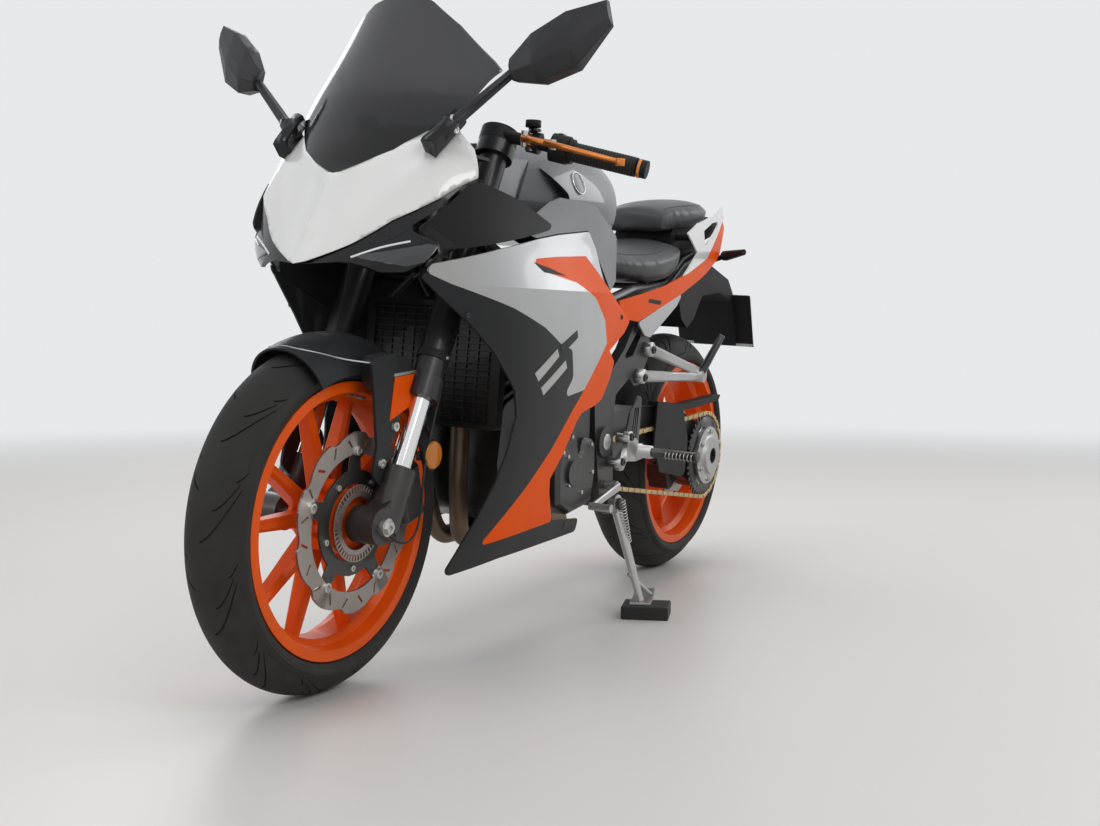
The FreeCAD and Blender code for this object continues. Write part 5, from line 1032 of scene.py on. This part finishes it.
def makeCushion(name, node, start, pressure, cap):
    bm = bmesh.new()
    bm.from_mesh(nodes[node].data)
    bmesh.ops.remove_doubles(bm, verts=bm.verts, dist=bike["weld"])
    bm.normal_update()
    for vert in bm.verts:
        vert.co += vert.normal * start * 0.001
    piece = bpy.data.objects.new(name, meshFrom(name, bm))
    scene.collection.objects.link(piece)
    remesh = piece.modifiers.new("remesh", 'REMESH')
    remesh.mode = 'VOXEL'
    remesh.voxel_size = cushionMake["voxel"]
    freezeShape(piece, 180)
    before = [vert.co.copy() for vert in piece.data.vertices]
    cloth = piece.modifiers.new("cloth", 'CLOTH')
    cloth.settings.use_pressure = True
    cloth.settings.uniform_pressure_force = pressure
    cloth.settings.effector_weights.gravity = 0.0
    cloth.settings.quality = cushionMake["quality"]
    cloth.point_cache.frame_start = 1
    cloth.point_cache.frame_end = cushionMake["frames"]
    for frameNumber in range(1, cushionMake["frames"] + 1):
        scene.frame_set(frameNumber)
    freezeShape(piece, 180)
    scene.frame_set(1)
    moved = 0.0
    for vert, place in zip(piece.data.vertices, before):
        step = vert.co - place
        if step.length > cap * 0.001:
            vert.co = place + step.normalized() * cap * 0.001
        moved = max(moved, (vert.co - place).length)
    smooth = bmesh.new()
    smooth.from_mesh(piece.data)
    for _ in range(cushionMake["smoothPasses"]):
        bmesh.ops.smooth_vert(smooth, verts=smooth.verts, factor=cushionMake["smoothFactor"], use_axis_x=True,
                              use_axis_y=True, use_axis_z=True)
    smooth.to_mesh(piece.data)
    smooth.free()
    finish = piece.modifiers.new("smooth", 'SUBSURF')
    finish.levels = finish.render_levels = 1
    freezeShape(piece, 180)
    piece.data.materials.clear()
    piece.data.materials.append(materials["seatVinyl"])
    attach(piece, "root")
    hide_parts(node)
    print(name, len(piece.data.polygons), "faces, moved up to %.1f mm" % (moved * 1000))
    return BVHTree.FromPolygons([toBike @ vert.co for vert in piece.data.vertices],
                                [tuple(face.vertices) for face in piece.data.polygons])


def seamPath(tree, ends, share, count, side):  # along the shoulder, found by rays from above at a share of the width
    places = []
    for k in range(count + 1):
        x = ends[0] + (ends[1] - ends[0]) * k / count
        for step in range(*cushionMake["edgeSearch"]):
            if tree.ray_cast(Vector((x, side * step, cushionMake["above"])), -upright)[0]:
                hit = tree.ray_cast(Vector((x, side * step * share, cushionMake["above"])), -upright)[0]
                if hit:
                    places.append(hit - upright * cushionMake["seamSink"])
                break
    return places


for name, settings in cushions.items():
    tree = makeCushion(name, **settings)
    for side, word in ((1, "Left"), (-1, "Right")):
        places = seamPath(tree, side=side, **seatSeams[name])
        if len(places) > 3:
            hose(name + "Seam" + word, places, cushionMake["seamRadius"], "root", "gripRubber")

# Body trims: outlines seen from the side, laid on both sides as thin film
trims = {
    "bars": (((383, 541), (368, 526), (300, 570), (310, 584)), ((300, 590), (288, 574), (226, 604), (232, 618)),
             ((356, 514), (344, 500), (262, 548), (272, 562))),
    "paintedShadeBar": 1, "slot": ((396, 736), (330, 727), (277, 717), (363, 720)),
    "ventSlot": ((-200, 684), (-196, 676), (-270, 672), (-277, 681)), "away": 205.0,
}


def film(label, surfaces, points, look):
    for side, word in ((1, "Left"), (-1, "Right")):
        patch(label + word, onSide(surfaces, side), [(x, side * trims["away"], z) for x, z in points], (0, -side, 0),
              look)


# One bar, on the silver panel, is charcoal film: painted shade where only a faint shade falls, not a graphic
for number, bar in enumerate(trims["bars"]):
    look, slotName = ("charcoalPaint", "charcoal") if number == trims["paintedShadeBar"] else ("castSilver", "silver_paint")
    film("slantBar%d" % number, ("fairing_left_upper", "fairing_left_lower"), bar, look)
film("trimSlot", ("orange_trims", "fairing_left_upper"), trims["slot"], "mattBlack")
film("tailVent", ("orange_trims", "tail_lower", "tail_cowl"), trims["ventSlot"], "mattBlack")

bodyScrews = (  # surfaces, places, head radius and height
    (("orange_trims", "fairing_left_lower", "fairing_left_upper", "frame_plates"),
     ((-25, 205, 643), (236, 205, 300), (150, 205, 235), (560, 205, 640)), 5.5, 2.2),
    (("pillion_brackets",), ((-231, 190, 573), (-195, 190, 513)), 9.0, 5.0),
    (("rider_brackets",), ((-107, 200, 391), (-69, 200, 341)), 8.5, 5.0),
)
bodyBolts = bmesh.new()
for settings in bodyScrews:
    sideBolts(bodyBolts, *settings)
newPiece("bodyBolts", bodyBolts, "root", "blackMetal")

tank = {"emblem": (112, 110, 895), "disc": ((-2, 0.4), (-2, 21), (1.2, 21), (1.8, 19), (1.8, 0.4)),
        "ring": ((-2, 21), (-2, 23.2), (2.0, 23.2), (2.6, 22.3), (2.0, 21)), "lid": (120, 988), "lidBolts": 8,
        "lidReach": 44.0, "boltSize": (3.6, 1.6, 14, 0.5)}


def tankFittings():
    disc, ring, bolts = bmesh.new(), bmesh.new(), bmesh.new()
    x, y, z = tank["emblem"]
    for side in (1, -1):
        landed = landOn(("fuel_tank",), (x, side * y, z), (0, -side, -0.15))
        if landed:
            for bm, profile in ((disc, tank["disc"]), (ring, tank["ring"])):
                addTurned(bm, profile, landed[0], 48, landed[1], landed[1].orthogonal())
    newPiece("tankDisc", disc, "root", "pianoBlack")
    newPiece("tankDiscRing", ring, "root", "chrome")
    x, z = tank["lid"]
    for k in range(tank["lidBolts"]):
        turn = 2 * math.pi * (k + 0.5) / tank["lidBolts"]
        place = (x + tank["lidReach"] * math.cos(turn), tank["lidReach"] * math.sin(turn), z)
        boltOn(bolts, ("fuel_lid",), place, -upright, *tank["boltSize"])
    newPiece("lidBolts", bolts, "fuel_lid", "brushedSteel")


tankFittings()
print("body fitted")

# Tail: ribs of the light, the plate's face and its bolts; then the silencer and the foot brackets
tail = {"ribs": 7, "ribsWide": 108.0, "ribSize": (2.4, 3.0, 22), "lamp": (-830, 884), "foot": (-1054.8, 569.4),
        "head": (-1002.4, 709.2), "plateHalf": 110.0, "plateThick": 2.2, "corner": 7.0, "boltUp": 118.0,
        "boltOut": 60.0, "boltSize": (5.0, 2.5), "ribSink": 0.4, "baseBolt": (-940, 720), "plateFacing": -0.3}
silencer = {"facing": -0.7, "ends": (-632.0, -318.0)}
brackets = {"riderUp": 402.0, "riderOut": 240.0, "pillionBehind": -484.0, "pillionUp": 520.0}


def tailFittings():
    lamp, sheet, bolts = bmesh.new(), bmesh.new(), bmesh.new()
    for k in range(tail["ribs"]):
        y = tail["ribsWide"] * (k / (tail["ribs"] - 1) - 0.5)
        landed = landOn(("tail_light",), (tail["lamp"][0], y, tail["lamp"][1]), (1, 0, 0))
        if landed:
            addBlock(lamp, landed[0] - Vector((tail["ribSink"], 0, 0)), tail["ribSize"], None, 0.6, 1)
    newPiece("tailRibs", lamp, "root", "redLens")
    foot, head = (Vector((x, 0, z)) for x, z in (tail["foot"], tail["head"]))
    tall, up, right = (head - foot).length, (head - foot).normalized(), -sideways
    behind, half, thick = right.cross(up), tail["plateHalf"], tail["plateThick"]
    addPlate(sheet, ((-half, 0), (half, 0), (half, tall), (-half, tall)), thick, foot - behind * thick, right, up)
    short = [edge for edge in sheet.edges if abs(edge.calc_length() - thick) < 0.01]
    bmesh.ops.bevel(sheet, geom=short, offset=tail["corner"], segments=4, profile=0.5, affect='EDGES', material=-1)
    newPiece("plateFace", sheet, "root", "whitePlate")
    for side in (1, -1):
        out = side * tail["boltOut"]
        addBolt(bolts, foot + up * tail["boltUp"] + right * out, behind, *tail["boltSize"])
        x, z = tail["baseBolt"]
        boltOn(bolts, ("tail_base", "number_plate"), (x, out, z), (-1, 0, -0.2), *tail["boltSize"], 12)
    newPiece("plateBolts", bolts, "root", "brushedSteel")


tailFittings()
dressNode("number_plate", "plateDressed", "root", ("whitePlate", "mattBlack"),
          lambda p, n: 1 if n.x > tail["plateFacing"] else 0)
dressNode("silencer", "silencerDressed", "root", ("brushedSteel", "blackMetal"),
          lambda p, n: 1 if n.x < silencer["facing"] or not silencer["ends"][0] <= p.x <= silencer["ends"][1] else 0)
dressNode("rider_brackets", "riderBrackets", "root", ("castSilver", "charcoalMetal"),
          lambda p, n: 1 if p.z > brackets["riderUp"] or abs(p.y) > brackets["riderOut"] else 0)
dressNode("pillion_brackets", "pillionBrackets", "root", ("castSilver", "charcoalMetal"),
          lambda p, n: 1 if p.x < brackets["pillionBehind"] and p.z > brackets["pillionUp"] else 0)

# Engine covers' bolts, caps over the arm's pivot, rings on the foot pegs and the stand's spring
engine = {"covers": ((83, 200, 347, 58), (166, 200, 420, 44)), "boltTurns": (20, 80, 140, 200, 260, 320),
          "boltSize": (5.0, 4.0, 6, 0), "cap": (-38, 185, 383), "pegRings": 8, "peg": (-156, 252, 354), "pegStep": 8.4,
          "ring": (1.3, 28, 6), "ringLift": 0.2, "pegReach": 120,
          "capShape": ((-1, 0.4), (-1, 17), (2, 17), (3, 15), (3, 0.4))}


coilSteps = 12


def coil(name, start, end, radius, wire, turns, body, slotName, look):
    start, end = Vector(start), Vector(end)
    axis = (end - start).normalized()
    across = axis.orthogonal().normalized()
    other, count = axis.cross(across), int(turns * coilSteps)
    places = []
    for k in range(count + 1):
        turn = 2 * math.pi * k / coilSteps
        places.append(start.lerp(end, k / count) + (across * math.cos(turn) + other * math.sin(turn)) * radius)
    hose(name, places, wire, body, look, 2)


def engineFittings():
    bolts, caps, rings = bmesh.new(), bmesh.new(), bmesh.new()
    for x, y, z, reach in engine["covers"]:
        places = [onRing(Vector((x, y, z)), reach, math.radians(turn)) for turn in engine["boltTurns"]]
        sideBolts(bolts, ("engine_covers",), places, *engine["boltSize"])
    for side in (1, -1):
        x, y, z = engine["cap"]
        landed = landOn(("frame_plates",), (x, side * y, z), (0, -side, 0))
        if landed:
            profile = [(a * side if a > 0 else a, r) for a, r in engine["capShape"]]
            addTurned(caps, profile, landed[0], 40)
        x, y, z = engine["peg"]
        for k in range(engine["pegRings"]):
            spot = x, side * (y + engine["pegStep"] * k), z
            landed = landOn(("rider_brackets",), spot, -upright, engine["pegReach"])
            if landed:
                place = landed[0]
                addTorus(rings, (place.x, place.y, z), (0, side, 0), place.z - z + engine["ringLift"], *engine["ring"])
    newPiece("coverBolts", bolts, "root", "brushedSteel")
    newPiece("pivotCaps", caps, "root", "brushedSteel")
    newPiece("pegRings", rings, "root", "castSilver")


engineFittings()
standSpring = dict(start=(-66, 196, 262), end=(-92, 205, 168), radius=6.0, wire=1.3, turns=15)
coil("standSpring", body="side_stand", slotName="steel", look="brushedSteel", **standSpring)
print("rear fitted")

liner = {"panels": ("fairing_left_upper", "fairing_right_upper", "orange_trims"), "facing": -0.3, "gap": 0.6,
         "thickness": 0.4}


def panelLiners():  # painted panels are raw black on their insides
    bm = nodeShape(*liner["panels"])
    outside = [face for face in bm.faces
               if face.normal.y * math.copysign(1.0, face.calc_center_median().y) > liner["facing"]]
    bmesh.ops.delete(bm, geom=outside, context='FACES')
    for vert in bm.verts:
        vert.co.y -= math.copysign(liner["gap"], vert.co.y)
    bmesh.ops.solidify(bm, geom=bm.faces[:], thickness=liner["thickness"])
    newPiece("panelLiners", bm, "root", "mattBlack", 20)


panelLiners()
print("panel insides done")
